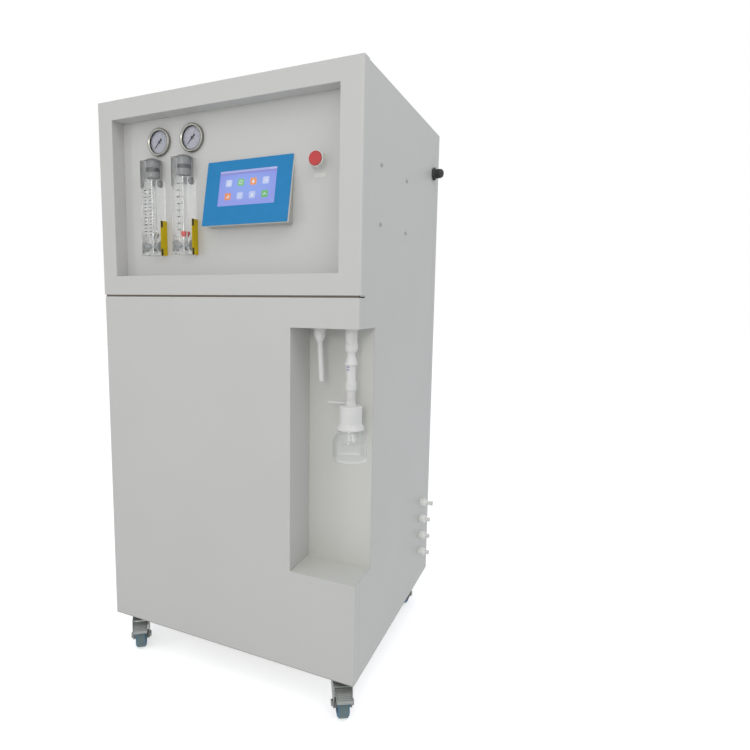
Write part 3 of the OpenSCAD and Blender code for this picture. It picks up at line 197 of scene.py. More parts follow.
class Piece:
    """The solids of one visible piece, gathered in millimetres of the part's frame."""

    def __init__(self):
        self.mesh = bmesh.new()

    def skin(self, rings, at, closed=False):
        """Joins rings of as many points into a solid, with flat caps on open ends."""
        made = [[self.mesh.verts.new(at @ Vector(point)) for point in ring] for ring in rings]
        pairs = list(zip(made, made[1:]))
        if closed:
            pairs.append((made[-1], made[0]))
        else:
            self.mesh.faces.new(made[0][::-1])
            self.mesh.faces.new(made[-1])
        for low, high in pairs:
            for i in range(len(low)):
                self.mesh.faces.new((low[i - 1], low[i], high[i], high[i - 1]))

    def turned(self, profile, at, steps=TURN_STEPS, closed=False, shape=None):
        """Revolves a profile of (radius, height) points about the place's Z."""
        rings = []
        for radius, height in profile:
            ring = []
            for i in range(steps):
                angle = math.tau * i / steps
                reach = shape(radius, height, angle) if shape else radius
                ring.append((reach * math.cos(angle), reach * math.sin(angle), height))
            rings.append(ring)
        self.skin(rings, at, closed)

    def plate(self, outline, height, at, edge=0.0):
        """An outline raised along the place's Z, with its far rim rounded off by an edge radius."""
        levels = [(0, 0), (0, height)]
        if edge:
            part_way = EDGE_MIDDLE * edge
            levels[1:] = [(0, height - edge), (part_way, height - part_way), (edge, height)]
        rings = []
        for inwards, level in levels:
            line = inset(outline, inwards) if inwards else outline
            rings.append([(x, y, level) for x, y in line])
        self.skin(rings, at)

    def rim(self, outer, inner, height, at, edge):
        """A plate with a window: both outlines have as many points."""
        rings = [
            [(x, y, 0) for x, y in outer],
            [(x, y, height - edge) for x, y in outer],
            [(x, y, height) for x, y in inset(outer, edge)],
            [(x, y, height) for x, y in inner],
            [(x, y, 0) for x, y in inner],
        ]
        self.skin(rings, at, closed=True)

    def band(self, radius, width, start, end, height, at):
        """A flat arc strip on the place's plane, with its angles in degrees."""
        rings = []
        for i in range(BAND_STEPS + 1):
            angle = math.radians(start + (end - start) * i / BAND_STEPS)
            way = Vector((math.cos(angle), math.sin(angle), 0))
            near, far = way * radius, way * (radius + width)
            up = Vector((0, 0, height))
            rings.append([near, far, far + up, near + up])
        self.skin(rings, at)

    def block(self, size, at, radius=0.0):
        """A block about the place's origin, with rounded edges."""
        made = bmesh.new()
        bmesh.ops.create_cube(made, size=1)
        bmesh.ops.scale(made, vec=size, verts=made.verts)
        if radius:
            bmesh.ops.bevel(made, geom=made.edges[:], offset=radius, segments=EDGE_SEGMENTS,
                            profile=0.5, affect="EDGES")
        self.take(made, at)

    def take(self, made, at):
        """Adds another mesh at a place."""
        data = bpy.data.meshes.new("taken")
        made.to_mesh(data)
        made.free()
        data.transform(at)
        self.mesh.from_mesh(data)
        bpy.data.meshes.remove(data)

    def number(self, value, size, height, at):
        """A plain number, standing on the place's plane."""
        curve = bpy.data.curves.new("number", "FONT")
        curve.body = str(value)
        curve.size = size
        curve.extrude = height / 2
        curve.align_x = "CENTER"
        curve.align_y = "CENTER"
        curve.resolution_u = 3
        holder = bpy.data.objects.new("number", curve)
        bpy.context.scene.collection.objects.link(holder)
        bpy.context.view_layer.update()
        seen = holder.evaluated_get(bpy.context.evaluated_depsgraph_get())
        data = bpy.data.meshes.new_from_object(seen)
        made = bmesh.new()
        made.from_mesh(data)
        bmesh.ops.remove_doubles(made, verts=made.verts, dist=size * NUMBER_WELD)
        self.take(made, at @ Matrix.Translation((0, 0, height / 2)))
        bpy.data.objects.remove(holder)
        bpy.data.curves.remove(curve)
        bpy.data.meshes.remove(data)

    def copy(self, node):
        """Takes over a node's solid, with its flat faces whole."""
        self.mesh.from_mesh(nodes[node].data)
        bmesh.ops.scale(self.mesh, vec=(1 / MM,) * 3, verts=self.mesh.verts)
        bmesh.ops.remove_doubles(self.mesh, verts=self.mesh.verts, dist=WELD)
        bmesh.ops.dissolve_limit(self.mesh, angle_limit=FLAT_ANGLE, verts=self.mesh.verts,
                                 edges=self.mesh.edges)

    def break_edges(self, width, chosen=lambda edge: True):
        """Rounds off the sharp edges that are chosen."""
        edges = [
            edge for edge in self.mesh.edges
            if edge.is_manifold and edge.calc_face_angle(0) > CUT_ANGLE and chosen(edge)
        ]
        bmesh.ops.bevel(self.mesh, geom=edges, offset=width, segments=EDGE_SEGMENTS,
                        profile=0.5, affect="EDGES", clamp_overlap=False)

    def done(self, name, finish, slot, on, *replaced):
        """Makes the piece: it moves with the node that it sits on and stands for those it replaces."""
        bmesh.ops.recalc_face_normals(self.mesh, faces=self.mesh.faces)
        data = bpy.data.meshes.new(name)
        self.mesh.to_mesh(data)
        self.mesh.free()
        data.transform(Matrix.Scale(MM, 4))
        data.materials.append(finish.material)
        data.shade_smooth()
        data.set_sharp_from_angle(angle=SHARP_ANGLE)
        made = bpy.data.objects.new(name, data)
        bpy.context.scene.collection.objects.link(made)
        normals = made.modifiers.new("even_normals", "WEIGHTED_NORMAL")
        normals.keep_sharp = True
        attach(made, nodes[on]["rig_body"])
        if replaced:
            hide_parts(*replaced)
        return made


def lets_light_by(made):
    """A clear piece: lamp light and bounced light go straight through it."""
    made.visible_shadow = False
    made.visible_diffuse = False


def softened(node, name, width, finish, slot):
    """A node's own solid with its edges broken, which stands for the node."""
    piece = Piece()
    piece.copy(node)
    piece.break_edges(width)
    return piece.done(name, finish, slot, node, node)


def turned_piece(name, profile, at, finish, slot, node, steps=TURN_STEPS, closed=False):
    """A piece that is one turned solid, which stands for a node."""
    piece = Piece()
    piece.turned(profile, at, steps, closed)
    return piece.done(name, finish, slot, node, node)


# Shader wiring

class Wire:
    """A shader socket that takes part in Python arithmetic."""

    def __init__(self, graph, socket):
        self.graph = graph
        self.socket = socket

    def math(self, operation, *values):
        """One Math node over values and wires."""
        return self.graph.add("ShaderNodeMath", {"operation": operation}, dict(enumerate(values)))

    def __add__(self, other):
        return self.math("ADD", self, other)

    __radd__ = __add__

    def __sub__(self, other):
        return self.math("SUBTRACT", self, other)

    def __rsub__(self, other):
        return self.math("SUBTRACT", other, self)

    def __mul__(self, other):
        return self.math("MULTIPLY", self, other)

    __rmul__ = __mul__

    def __gt__(self, other):
        return self.math("GREATER_THAN", self, other)

    def between(self, low, high):
        """The value spread from low to high over 0 to 1, and held there."""
        sockets = {"Value": self, "From Min": low, "From Max": high}
        return self.graph.add("ShaderNodeMapRange", {"clamp": True}, sockets)


class Graph:
    """A node tree that is filled by calls."""

    def __init__(self, tree):
        self.tree = tree

    def add(self, kind, settings=None, sockets=None, output=0):
        """Any node: its settings are set first, then the values or links of its sockets."""
        node = self.tree.nodes.new(kind)
        for key, value in (settings or {}).items():
            setattr(node, key, value)
        for key, value in (sockets or {}).items():
            self.feed(node.inputs[key], value)
        return Wire(self, node.outputs[output])

    def feed(self, socket, value):
        """Links a wire to a socket, or sets the socket's own value."""
        if isinstance(value, Wire):
            self.tree.links.new(value.socket, socket)
        else:
            socket.default_value = value

    def blend(self, share, low, high):
        """A colour between two others."""
        return self.add("ShaderNodeMix", {"data_type": "RGBA"}, {0: share, 6: low, 7: high}, 2)


class Finish(Graph):
    """A material around one Principled shader."""

    def __init__(self, name, **uniform):
        self.material = bpy.data.materials.new(name)
        self.material.use_nodes = True
        super().__init__(self.material.node_tree)
        self.shader = self.tree.nodes["Principled BSDF"]
        for key, value in uniform.items():
            self.shader.inputs[key.replace("_", " ")].default_value = value

    def set(self, socket, value):
        """Feeds one of the shader's sockets."""
        self.feed(self.shader.inputs[socket], value)

    def spot(self):
        """Where a point lies on the piece, in metres of the part's frame."""
        return self.add("ShaderNodeTexCoord", output="Object")

    def axis(self, name):
        """One coordinate of that spot."""
        return self.add("ShaderNodeSeparateXYZ", None, {0: self.spot()}, name)

    def noise(self, size, detail, stretch=(1, 1, 1)):
        """Soft noise from 0 to 1 with features of a size in millimetres, longer along stretched axes."""
        scale = [1 / (size * MM * s) for s in stretch]
        where = self.add("ShaderNodeVectorMath", {"operation": "MULTIPLY"}, {0: self.spot(), 1: scale})
        return self.add("ShaderNodeTexNoise", None, {"Vector": where, "Scale": 1.0, "Detail": detail})

    def bump(self, height, depth, strength):
        """Fine relief of a depth in millimetres."""
        sockets = {"Strength": strength, "Distance": depth * MM, "Height": height}
        self.set("Normal", self.add("ShaderNodeBump", None, sockets))


def srgb(red, green, blue):
    """A colour as it looks on a screen, from 0 to 255, in the shader's linear light."""
    parts = [v / 255 for v in (red, green, blue)]
    return tuple(v / 12.92 if v < 0.04045 else ((v + 0.055) / 1.055) ** 2.4 for v in parts) + (1.0,)


def shade(colour, factor):
    """A colour made lighter or darker."""
    return tuple(min(v * factor, 1.0) for v in colour[:3]) + (1.0,)


# Finishes

CABINET_GREY = srgb(197, 196, 193)
HEM_SHADE_H = 3.0
BELL_SHORT = 4.0
BELL_RIM_HIGHLIGHT = (2.0, 7.0)


def powder_coat(name, colour, hem=None):
    """Sprayed and baked paint: an orange peel skin with faint clouds of tone, and painted shade along a lower
    hem.
    """
    coat = Finish(name, Specular_IOR_Level=0.4)
    clouds = coat.noise(260, 3)
    peel = coat.noise(1.6, 2)
    fleck = coat.noise(0.35, 1)
    tone = coat.blend(clouds, shade(colour, 0.965), shade(colour, 1.035))
    if hem is not None:
        # Painted shade: the colour darkens over the last few millimetres above the hem, standing in for the
        # shadow along the lower edge.
        above_hem_shade = coat.axis("Z").between(hem * MM, (hem + HEM_SHADE_H) * MM)
        tone = coat.blend(above_hem_shade, shade(colour, 0.45), tone)
    coat.set("Base Color", coat.blend(0.06 * fleck, tone, shade(colour, 0.6)))
    coat.set("Roughness", 0.38 + 0.16 * peel)
    coat.bump(peel + 0.25 * fleck, 0.05, 0.35)
    return coat


def moulded(name, colour, roughness, grain=0.6, **uniform):
    """Moulded plastic: a fine grain from the mould and slight streaks of tone."""
    plastic = Finish(name, **uniform)
    streaks = plastic.noise(14, 3)
    pores = plastic.noise(grain, 2)
    plastic.set("Base Color", plastic.blend(streaks, shade(colour, 0.94), shade(colour, 1.05)))
    plastic.set("Roughness", roughness - 0.06 + 0.12 * pores)
    plastic.bump(pores, 0.02, 0.3)
    return plastic


def metal(name, colour, roughness, smear=9.0, stretch=(1, 1, 1)):
    """Worked metal: rubbed and dull patches, and fine marks along a direction."""
    steel = Finish(name, Metallic=1.0)
    patches = steel.noise(smear, 3)
    marks = steel.noise(0.4, 2, stretch)
    steel.set("Base Color", steel.blend(patches, shade(colour, 0.82), shade(colour, 1.1)))
    steel.set("Roughness", roughness - 0.08 + 0.1 * patches + 0.1 * marks)
    steel.bump(marks, 0.01, 0.25)
    return steel


def clear(name, tint, ior, through=1.0, roughness=0.02, **uniform):
    """Clear plastic: wiped by hand, so its gloss has faint smears."""
    pane = Finish(name, Transmission_Weight=through, IOR=ior, **uniform)
    smears = pane.noise(18, 3)
    pane.set("Base Color", pane.blend(smears, shade(tint, 0.985), tint))
    pane.set("Roughness", roughness + 0.03 * smears)
    return pane


def bell_plastic(name, foot):
    """Thin clear plastic, with a painted highlight: its gloss is brightest along its rim."""
    bell = clear(name, (0.93, 0.94, 0.94, 1), 1.014, Coat_Roughness=0.02, Coat_IOR=2.2)
    rim_foot, rim_top = (foot + rise for rise in BELL_RIM_HIGHLIGHT)
    # Painted highlight: the coat is stronger in a band at the foot, so the rim shows a bright line.
    above_rim_highlight = bell.axis("Z").between(rim_foot * MM, rim_top * MM)
    bell.set("Coat Weight", 0.62 - 0.4 * above_rim_highlight)
    return bell


def glowing(name, low, high, strength, bottom, top):
    """A lit patch of the screen, shaded from its lower to its upper edge."""
    lit = Finish(name, Roughness=0.3, Specular_IOR_Level=0.25, Emission_Strength=strength)
    rise = lit.axis("Z").between(bottom * MM, top * MM)
    lit.set("Base Color", shade(low, 0.05))
    lit.set("Emission Color", lit.blend(rise, low, high))
    return lit


def tyre_rubber(name, colour):
    """Cast elastomer: scuffed, with dust in its skin."""
    rubber = Finish(name, Specular_IOR_Level=0.35)
    scuffs = rubber.noise(5, 4)
    pores = rubber.noise(0.8, 2)
    dust = (scuffs * pores).between(0.18, 0.42)
    rubber.set("Base Color", rubber.blend(0.6 * dust, colour, srgb(120, 128, 128)))
    rubber.set("Roughness", 0.45 + 0.3 * dust)
    rubber.bump(pores + scuffs, 0.06, 0.5)
    return rubber


paint = powder_coat("cabinet_paint", CABINET_GREY)
# The lower sheets carry painted shade along their lower hem.
hem_shade_paint = powder_coat("cabinet_paint_hem_shade", CABINET_GREY, box_mm("lower_front_panel")[0].z)
# Painted light: the niche liner is the cabinet's powder coat made lighter, standing for the light inside the
# niche.
liner_lit_paint = powder_coat("liner_lit_paint", srgb(204, 204, 198))
bright_steel = metal("bright_steel", srgb(152, 151, 145), 0.27, 6)
zinc = metal("zinc_steel", srgb(150, 152, 152), 0.42, 7)
pedal_paint = moulded("pedal_paint", srgb(150, 154, 150), 0.36, 0.8, Metallic=0.35)
# Painted highlight: the pedal's ribs get this lighter grey for the bright lines they catch.
pedal_rib_highlight = moulded("pedal_rib_highlight", srgb(178, 181, 179), 0.32, 0.8, Metallic=0.3)
caster_grey = moulded("caster_grey", srgb(144, 148, 144), 0.42, 0.8, Metallic=0.4)
rod_steel = metal("rod_steel", srgb(190, 192, 194), 0.25, 4, (1, 1, 12))
screw_grey = moulded("screw_grey", srgb(160, 163, 165), 0.4, 0.4, Metallic=0.2)
# Painted shade: the brown of the strip behind the seam stands for the dark in that gap.
seam_shade_brown = moulded("seam_shade_strip", srgb(112, 102, 90), 0.6, 0.6)
# Partly painted shade: the dial's pale grey-lavender face is darkened further to stand for the shade under
# its lens and bezel.
dial_shaded_grey = moulded("dial_face", srgb(169, 171, 180), 0.45, 0.3)
ink = moulded("print_black", srgb(38, 40, 46), 0.5, 0.3)
scale_ink = moulded("scale_print", srgb(44, 46, 48), 0.5, 0.3)
gasket_rubber = moulded("gasket_black", srgb(40, 40, 42), 0.5, 0.5)
pointer_black = moulded("pointer_black", srgb(44, 42, 52), 0.4, 0.3)
lens_clear = clear("clear_lens", (1, 1, 1, 1), 1.12)
acrylic = clear("clear_acrylic", (0.985, 0.99, 0.985, 1), 1.2, 0.92, 0.0)
bore_clear = clear("clear_bore", (0.99, 0.995, 0.99, 1), 1.0, 1.0, 0.0)
seat_grey = clear("seat_grey", srgb(172, 174, 174), 1.05, 0.5, 0.1)
# Painted shade: the dark colour of the plate that stands for the shadowed opening of each inlet.
inlet_shade_dark = moulded("inlet_shade_dark", srgb(96, 98, 98), 0.5, 0.5)
bell_clear = bell_plastic("bell_clear", box_mm("filter_bell")[0].z + BELL_SHORT)
plug_grey = moulded("plug_grey", srgb(116, 118, 118), 0.4)
float_red = moulded("float_red", srgb(206, 36, 26), 0.3)
white_plastic = moulded("white_plastic", srgb(214, 213, 210), 0.32)
# Painted light: the same white plastic made lighter for the ports, making up for the dimmer light on the
# right side.
port_white_lit = moulded("port_white_lit", srgb(232, 231, 226), 0.3)
milky_plastic = moulded("milky_plastic", srgb(218, 216, 212), 0.3, Transmission_Weight=0.15)
clip_blue = moulded("clip_blue", srgb(122, 126, 184), 0.4)
strip_yellow = moulded("strip_yellow", srgb(199, 173, 6), 0.5, 0.9, Specular_IOR_Level=0.2)
strip_black = moulded("strip_black", srgb(40, 38, 30), 0.45, 0.9)
shell_white = moulded("display_shell", srgb(220, 220, 214), 0.4)
# Painted shade, in part: the body behind the bezel is a darker grey than the bezel, standing for the shade on
# its sides.
shell_shaded_grey = moulded("display_body", srgb(176, 176, 170), 0.45)
fascia_blue = moulded("fascia_blue", srgb(38, 126, 181), 0.5, 0.5, Specular_IOR_Level=0.2)
button_red = moulded("button_red", srgb(188, 68, 68), 0.42, Specular_IOR_Level=0.3)
collar_white = moulded("collar_white", srgb(216, 215, 209), 0.4)
label_pale = moulded("label_pale", srgb(208, 206, 200), 0.5)
black_plastic = moulded("black_plastic", srgb(26, 27, 29), 0.38)
tyre_blue = tyre_rubber("wheel_blue", srgb(56, 113, 151))
tread_grey = tyre_rubber("wheel_tread", srgb(96, 119, 122))
core_grey = moulded("wheel_core", srgb(120, 122, 120), 0.45)
pump_grey = moulded("pump_grey", srgb(86, 89, 93), 0.45)
valve_brass = metal("valve_brass", srgb(176, 142, 88), 0.3)
board_green = moulded("board_green", srgb(48, 108, 70), 0.4)
vessel_white = moulded("vessel_white", srgb(228, 230, 232), 0.3)


# Cabinet sheets

SHEET_EDGE = 0.5
LAP_DEEP = 3.0
LAP_T = 1.5
LAP_SHORT = 5.0
LAP_OVER = 0.5
LAP_EDGE = 0.3
SHEETS = {
    "base_pan": paint, "lower_front_panel": hem_shade_paint, "upper_front_frame": paint,
    "left_side_panel": hem_shade_paint, "right_side_panel": hem_shade_paint, "back_cover": hem_shade_paint,
    "top_cover": paint, "control_panel": paint, "niche_liner": liner_lit_paint,
}


def cabinet_sheets():
    """Each folded sheet with its cut edges broken under the paint."""
    for node, finish in SHEETS.items():
        softened(node, node + "_sheet", SHEET_EDGE, finish, "cabinet_paint")


def seam_lap():
    """A brown strip set in the seam between the lower panel and the upper frame: painted shade, its colour
    gives the seam its dark line.
    """
    low, high = box_mm("lower_front_panel")
    foot, top = high.z - LAP_OVER, box_mm("upper_front_frame")[0].z + LAP_OVER
    size = (high.x - low.x - LAP_SHORT, LAP_T, top - foot)
    spot = (middle("back_cover").x, low.y + LAP_DEEP + LAP_T / 2, (foot + top) / 2)
    piece = Piece()
    piece.block(size, upright(spot), LAP_EDGE)
    piece.done("seam_lap", seam_shade_brown, "pointer_black", "lower_front_panel")


# Screws and nuts

SCREW_HEAD_R = 4.0
SCREW_HEAD_H = 2.4
SCREW_R = 2.0
SCREW_L = 4.5
RECESS_W = 1.0
RECESS_L = 4.4
RECESS_D = 1.3
SIDE_SCREW_PITCH = (167.0, 108.5)


def pan_head_screw():
    """A pan head screw with a cross recess, its head standing on the place's plane."""
    profile = rounded([
        (SCREW_R, -SCREW_L, 0), (SCREW_R, 0, 0), (SCREW_HEAD_R, 0, 0.3), (SCREW_HEAD_R, 1.1, 0.6),
        (2.6, SCREW_HEAD_H, 1.2), (0.3, SCREW_HEAD_H, 0),
    ])
    blank, cutter = Piece(), Piece()
    blank.turned(profile, upright((0, 0, 0)), steps=32)
    for size in ((RECESS_L, RECESS_W, 2 * RECESS_D), (RECESS_W, RECESS_L, 2 * RECESS_D)):
        cutter.block(size, upright((0, 0, SCREW_HEAD_H)))
    return carved(blank, cutter)


def carved(blank, cutter):
    """The blank with the cutter's solids taken out, as a mesh."""
    holders = []
    for piece in (blank, cutter):
        bmesh.ops.recalc_face_normals(piece.mesh, faces=piece.mesh.faces)
        data = bpy.data.meshes.new("carving")
        piece.mesh.to_mesh(data)
        piece.mesh.free()
        holder = bpy.data.objects.new("carving", data)
        bpy.context.scene.collection.objects.link(holder)
        holders.append(holder)
    cut = holders[0].modifiers.new("cut", "BOOLEAN")
    cut.operation = "DIFFERENCE"
    cut.solver = "EXACT"
    cut.use_self = True
    cut.object = holders[1]
    bpy.context.view_layer.update()
    seen = holders[0].evaluated_get(bpy.context.evaluated_depsgraph_get())
    made = bpy.data.meshes.new_from_object(seen)
    for holder in holders:
        data = holder.data
        bpy.data.objects.remove(holder)
        bpy.data.meshes.remove(data)
    return made


def place_copies(piece, mesh, places):
    """Adds a mesh to a piece at each place."""
    for at in places:
        made = bmesh.new()
        made.from_mesh(mesh)
        piece.take(made, at)


def panel_screws():
    """Four screws on the right side hold the power supply, six hold the rear cover."""
    low, high = box_mm("panel_screws")
    supply = middle("power_supply")
    apart_y, apart_z = SIDE_SCREW_PITCH
    side = [
        facing_right((SIDE_FACE, supply.y + y * apart_y / 2, supply.z + z * apart_z / 2))
        for y in (-1, 1) for z in (-1, 1)
    ]
    cover = middle("back_cover")
    span = box_mm("back_cover")[1].x - cover.x
    rear = [
        facing_back((cover.x + x * span / 2, REAR_FACE, z))
        for x in (-1, 0, 1) for z in (low.z + SCREW_HEAD_R, high.z - SCREW_HEAD_R)
    ]
    piece = Piece()
    place_copies(piece, pan_head_screw(), side + rear)
    piece.done("pan_head_screws", screw_grey, "screw_black", "panel_screws", "panel_screws")


def back_nut(piece, at, radius, thick, corner, edge):
    """A six-sided nut that holds a fitting from behind its sheet."""
    behind = at @ Matrix.Translation((0, 0, -SHEET_T - thick))
    piece.plate(hexagon(radius, corner), thick, behind, edge)


# Pressure gauges

DIAL_START = 225
DIAL_SWEEP = 270
DIAL_TICKS = 50
MAJOR_EVERY = 5
MAJOR_TICK = (3.4, 0.5)
MINOR_TICK = (1.7, 0.26)
TICK_INSET = 1.9
DIAL_LINE = 0.25
DIAL_NUMBER = 3.4
NUMBER_INSET = 6.4
PRINT = 0.08
CASE_SUNK = 9.0
CASE_STEM_R = 7.0
BEZEL_STEP = 1.5
DIAL_ROOM = 0.2
GASKET_W = 0.5
LENS_EDGE = 0.8
CROWN_STEP = 6
CROWN_POINTS = 15


def gauge_places():
    """Each gauge's axis on the control panel's face."""
    centres = [joint_mm(side + "_pointer_sweep") for side in SIDES]
    return [facing_front((c.x, PANEL_FACE, c.z)) for c in centres]


def out_of_panel(node):
    """How far a node's rear and front ends stand out of the control panel's face."""
    low, high = box_mm(node)
    return PANEL_FACE - high.y, PANEL_FACE - low.y


def gauge_radius(node):
    """Radius of a round node of the gauges."""
    low, high = box_mm(node)
    return (high.z - low.z) / 2


def gauge_cases(places):
    """A rolled steel bezel on a drawn case that is sunk in the panel, with its stem behind."""
    rear, front = out_of_panel("gauge_cases")
    floor_h = out_of_panel("gauge_dials")[0]
    rim, bore = gauge_radius("gauge_cases"), gauge_radius("gauge_dials") + DIAL_ROOM
    drum = rim - BEZEL_STEP
    profile = rounded([
        (CASE_STEM_R, rear, 0), (CASE_STEM_R, -CASE_SUNK, 0), (drum, -CASE_SUNK, 0.5), (drum, 0, 0),
        (rim, 0, 0.4), (rim, front - 0.3, 2.4), (rim - 2.8, front, 1.4), (bore + 0.5, front - 1.2, 0.6),
        (bore, front - 2, 0.4), (bore, floor_h, 0),
    ])
    piece = Piece()
    for at in places:
        piece.turned(profile, at, steps=96)
    piece.done("gauge_bezels", bright_steel, "bright_steel", "gauge_cases", "gauge_cases")


def gauge_gaskets(places):
    """The black ring that holds each lens off its dial."""
    dial = out_of_panel("gauge_dials")[1]
    lens = out_of_panel("gauge_lenses")[0]
    edge = gauge_radius("gauge_dials")
    profile = rounded([(edge - GASKET_W, dial, 0), (edge, dial, 0), (edge, lens, 0), (edge - 0.3, lens, 0.1)])
    piece = Piece()
    for at in places:
        piece.turned(profile, at, steps=96, closed=True)
    piece.done("gauge_gaskets", gasket_rubber, "pointer_black", "gauge_cases")


def gauge_lenses(places):
    """Slightly crowned windows."""
    foot, top = out_of_panel("gauge_lenses")
    rise = top - foot - LENS_EDGE
    edge = gauge_radius("gauge_lenses")
    angles = [math.radians(CROWN_STEP * i) for i in range(CROWN_POINTS)]
    crown = [(edge * math.cos(a), foot + LENS_EDGE + rise * math.sin(a)) for a in angles]
    piece = Piece()
    for at in places:
        piece.turned([(edge, foot), *crown], at, steps=96)
    lets_light_by(piece.done("gauge_windows", lens_clear, "clear_lens", "gauge_lenses", "gauge_lenses"))


def gauge_scales(places):
    """Printed ticks, arc and numbers, from zero at the lower left."""
    piece = Piece()
    lift = out_of_panel("gauge_dials")[1]
    ticks_r = gauge_radius("gauge_dials") - TICK_INSET
    for at in places:
        face = at @ Matrix.Translation((0, 0, lift))
        piece.band(ticks_r - DIAL_LINE, DIAL_LINE, DIAL_START, DIAL_START - DIAL_SWEEP, PRINT, face)
        for i in range(DIAL_TICKS + 1):
            length, width = MINOR_TICK if i % MAJOR_EVERY else MAJOR_TICK
            turn = math.radians(DIAL_START - DIAL_SWEEP * i / DIAL_TICKS)
            spoke = face @ Matrix.Rotation(turn, 4, "Z")
            middle_r = ticks_r - length / 2
            piece.block((length, width, PRINT), spoke @ Matrix.Translation((middle_r, 0, PRINT / 2)))
            if i % (2 * MAJOR_EVERY) == 0:
                reach = ticks_r - NUMBER_INSET
                centre = (reach * math.cos(turn), reach * math.sin(turn), 0)
                piece.number(i // MAJOR_EVERY, DIAL_NUMBER, PRINT, face @ Matrix.Translation(centre))
    piece.done("gauge_scales", ink, "pointer_black", "gauge_dials")


def gauges():
    """Two round gauges in the panel's upper left."""
    places = gauge_places()
    gauge_cases(places)
    gauge_gaskets(places)
    gauge_lenses(places)
    gauge_scales(places)


# Flow meters

BLOCK_EDGE = 0.7
ON_FACE = 0.05
REAR_GAP = 0.25
PLUG_R = 12.0
GROOVE_R = 10.9
DOME_H = 5.5
SEAL_R = 11.9
SEAL_BORE = 10.7
SEAL_FOOT = 13.0
SEAL_TOP = 21.0
SEAT_R = 11.0
SEAT_HALF = 17.5
SEAT_RISE = 19.0
EYE_HALF = (4.0, 8.5)
EYE_T = 1.0
EYE_STEPS = 32
EYE_FROM_SEAT = Vector((4, 5, 0))
FLOAT_R = 6.5
FLOAT_H = 11.0
FLOAT_BORE = 1.6
PORT_EDGE = 0.5
STRIP_H = 72.0
STRIP_D = 20.0
STRIP_T = 1.0
TAB_D = 6.0
TAB_H = 14.0
TAB_T = 0.5
TAB_SUNK = 0.2
FINE_TICKS = 14
FINE_STEP = 7.0
FINE_FOOT = 42.0
FINE_COLUMNS = {-7.3: (4.0, 7.0), 5.1: (6.0, 6.0)}
FINE_LINE_W = 1.4
FINE_NUMBER = 4.4
FINE_NUMBER_AT = -0.9
COARSE_TICKS = 8
COARSE_STEP = 13.0
COARSE_FOOT = 49.0
COARSE_LINE = (9.0, 1.5)
COARSE_LINE_AT = -1.5
COARSE_NUMBER = 5.4
COARSE_NUMBER_AT = 7.5


def on_box_edge(node):
    """Picks the edges that lie on the outer edges of a node's box."""
    low, high = box_mm(node)

    def planes(vert):
        ends = (low, high)
        return {(i, j) for i in range(3) for j in range(2) if abs(vert.co[i] - ends[j][i]) < ON_FACE}

    return lambda edge: len(planes(edge.verts[0]) & planes(edge.verts[1])) >= 2


def flow_blocks():
    """Clear blocks with polished faces, drilled for tube and plug, a hair off the panel."""
    for side in SIDES:
        node = side + "_flow_body"
        low, high = box_mm(node)
        piece = Piece()
        piece.copy(node)
        piece.break_edges(BLOCK_EDGE, on_box_edge(node))
        for vert in piece.mesh.verts:
            if high.y - vert.co.y < ON_FACE:
                vert.co.y -= REAR_GAP
        for face in piece.mesh.faces:
            spot = face.calc_center_bounds()
            drilled = all(low[i] + BLOCK_EDGE < spot[i] < high[i] - BLOCK_EDGE for i in range(3))
            face.material_index = 1 if drilled else 0
        made = piece.done(side + "_flow_block", acrylic, "clear_acrylic", node, node)
        made.data.materials.append(bore_clear.material)
        lets_light_by(made)


def flow_axes():
    """Foot of each flow meter's axis."""
    axes = {}
    for side in SIDES:
        centre = middle(side + "_float")
        axes[side] = Vector((centre.x, centre.y, box_mm(side + "_flow_body")[0].z))
    return axes


def flow_plugs(axes):
    """Domed grey plugs, each with a broad seal in a groove below its dome."""
    low, high = box_mm("flow_plugs")
    tall = high.z - low.z
    dome_r = (high.y - low.y) / 2
    ball = (dome_r ** 2 + DOME_H ** 2) / (2 * DOME_H)
    lean = math.degrees(math.asin((ball - DOME_H) / ball))
    crown = arc((0, tall - ball), ball, lean, 88, 12)
    shank = rounded([
        (2.2, 9, 0), (10.6, 0, 0.5), (PLUG_R, 1.6, 0.3), (PLUG_R, SEAL_FOOT - 0.4, 0.2),
        (GROOVE_R, SEAL_FOOT - 0.2, 0.2), (GROOVE_R, SEAL_TOP + 0.2, 0.2), (PLUG_R, SEAL_TOP + 0.4, 0.2),
        (PLUG_R, tall - DOME_H, 0), (dome_r - 0.3, tall - DOME_H, 0),
    ])
    sleeve = rounded([
        (SEAL_BORE, SEAL_FOOT, 0.1), (SEAL_R, SEAL_FOOT, 0.5), (SEAL_R, SEAL_TOP, 0.5),
        (SEAL_BORE, SEAL_TOP, 0.1),
    ])
    plugs, seals = Piece(), Piece()
    for foot in axes.values():
        at = upright((foot.x, foot.y, low.z))
        plugs.turned([*shank, *crown], at, steps=72)
        seals.turned(sleeve, at, steps=72, closed=True)
    plugs.done("flow_plugs_domed", plug_grey, "plug_grey", "flow_plugs", "flow_plugs")
    seals.done("flow_seals", gasket_rubber, "pointer_black", "flow_plugs")


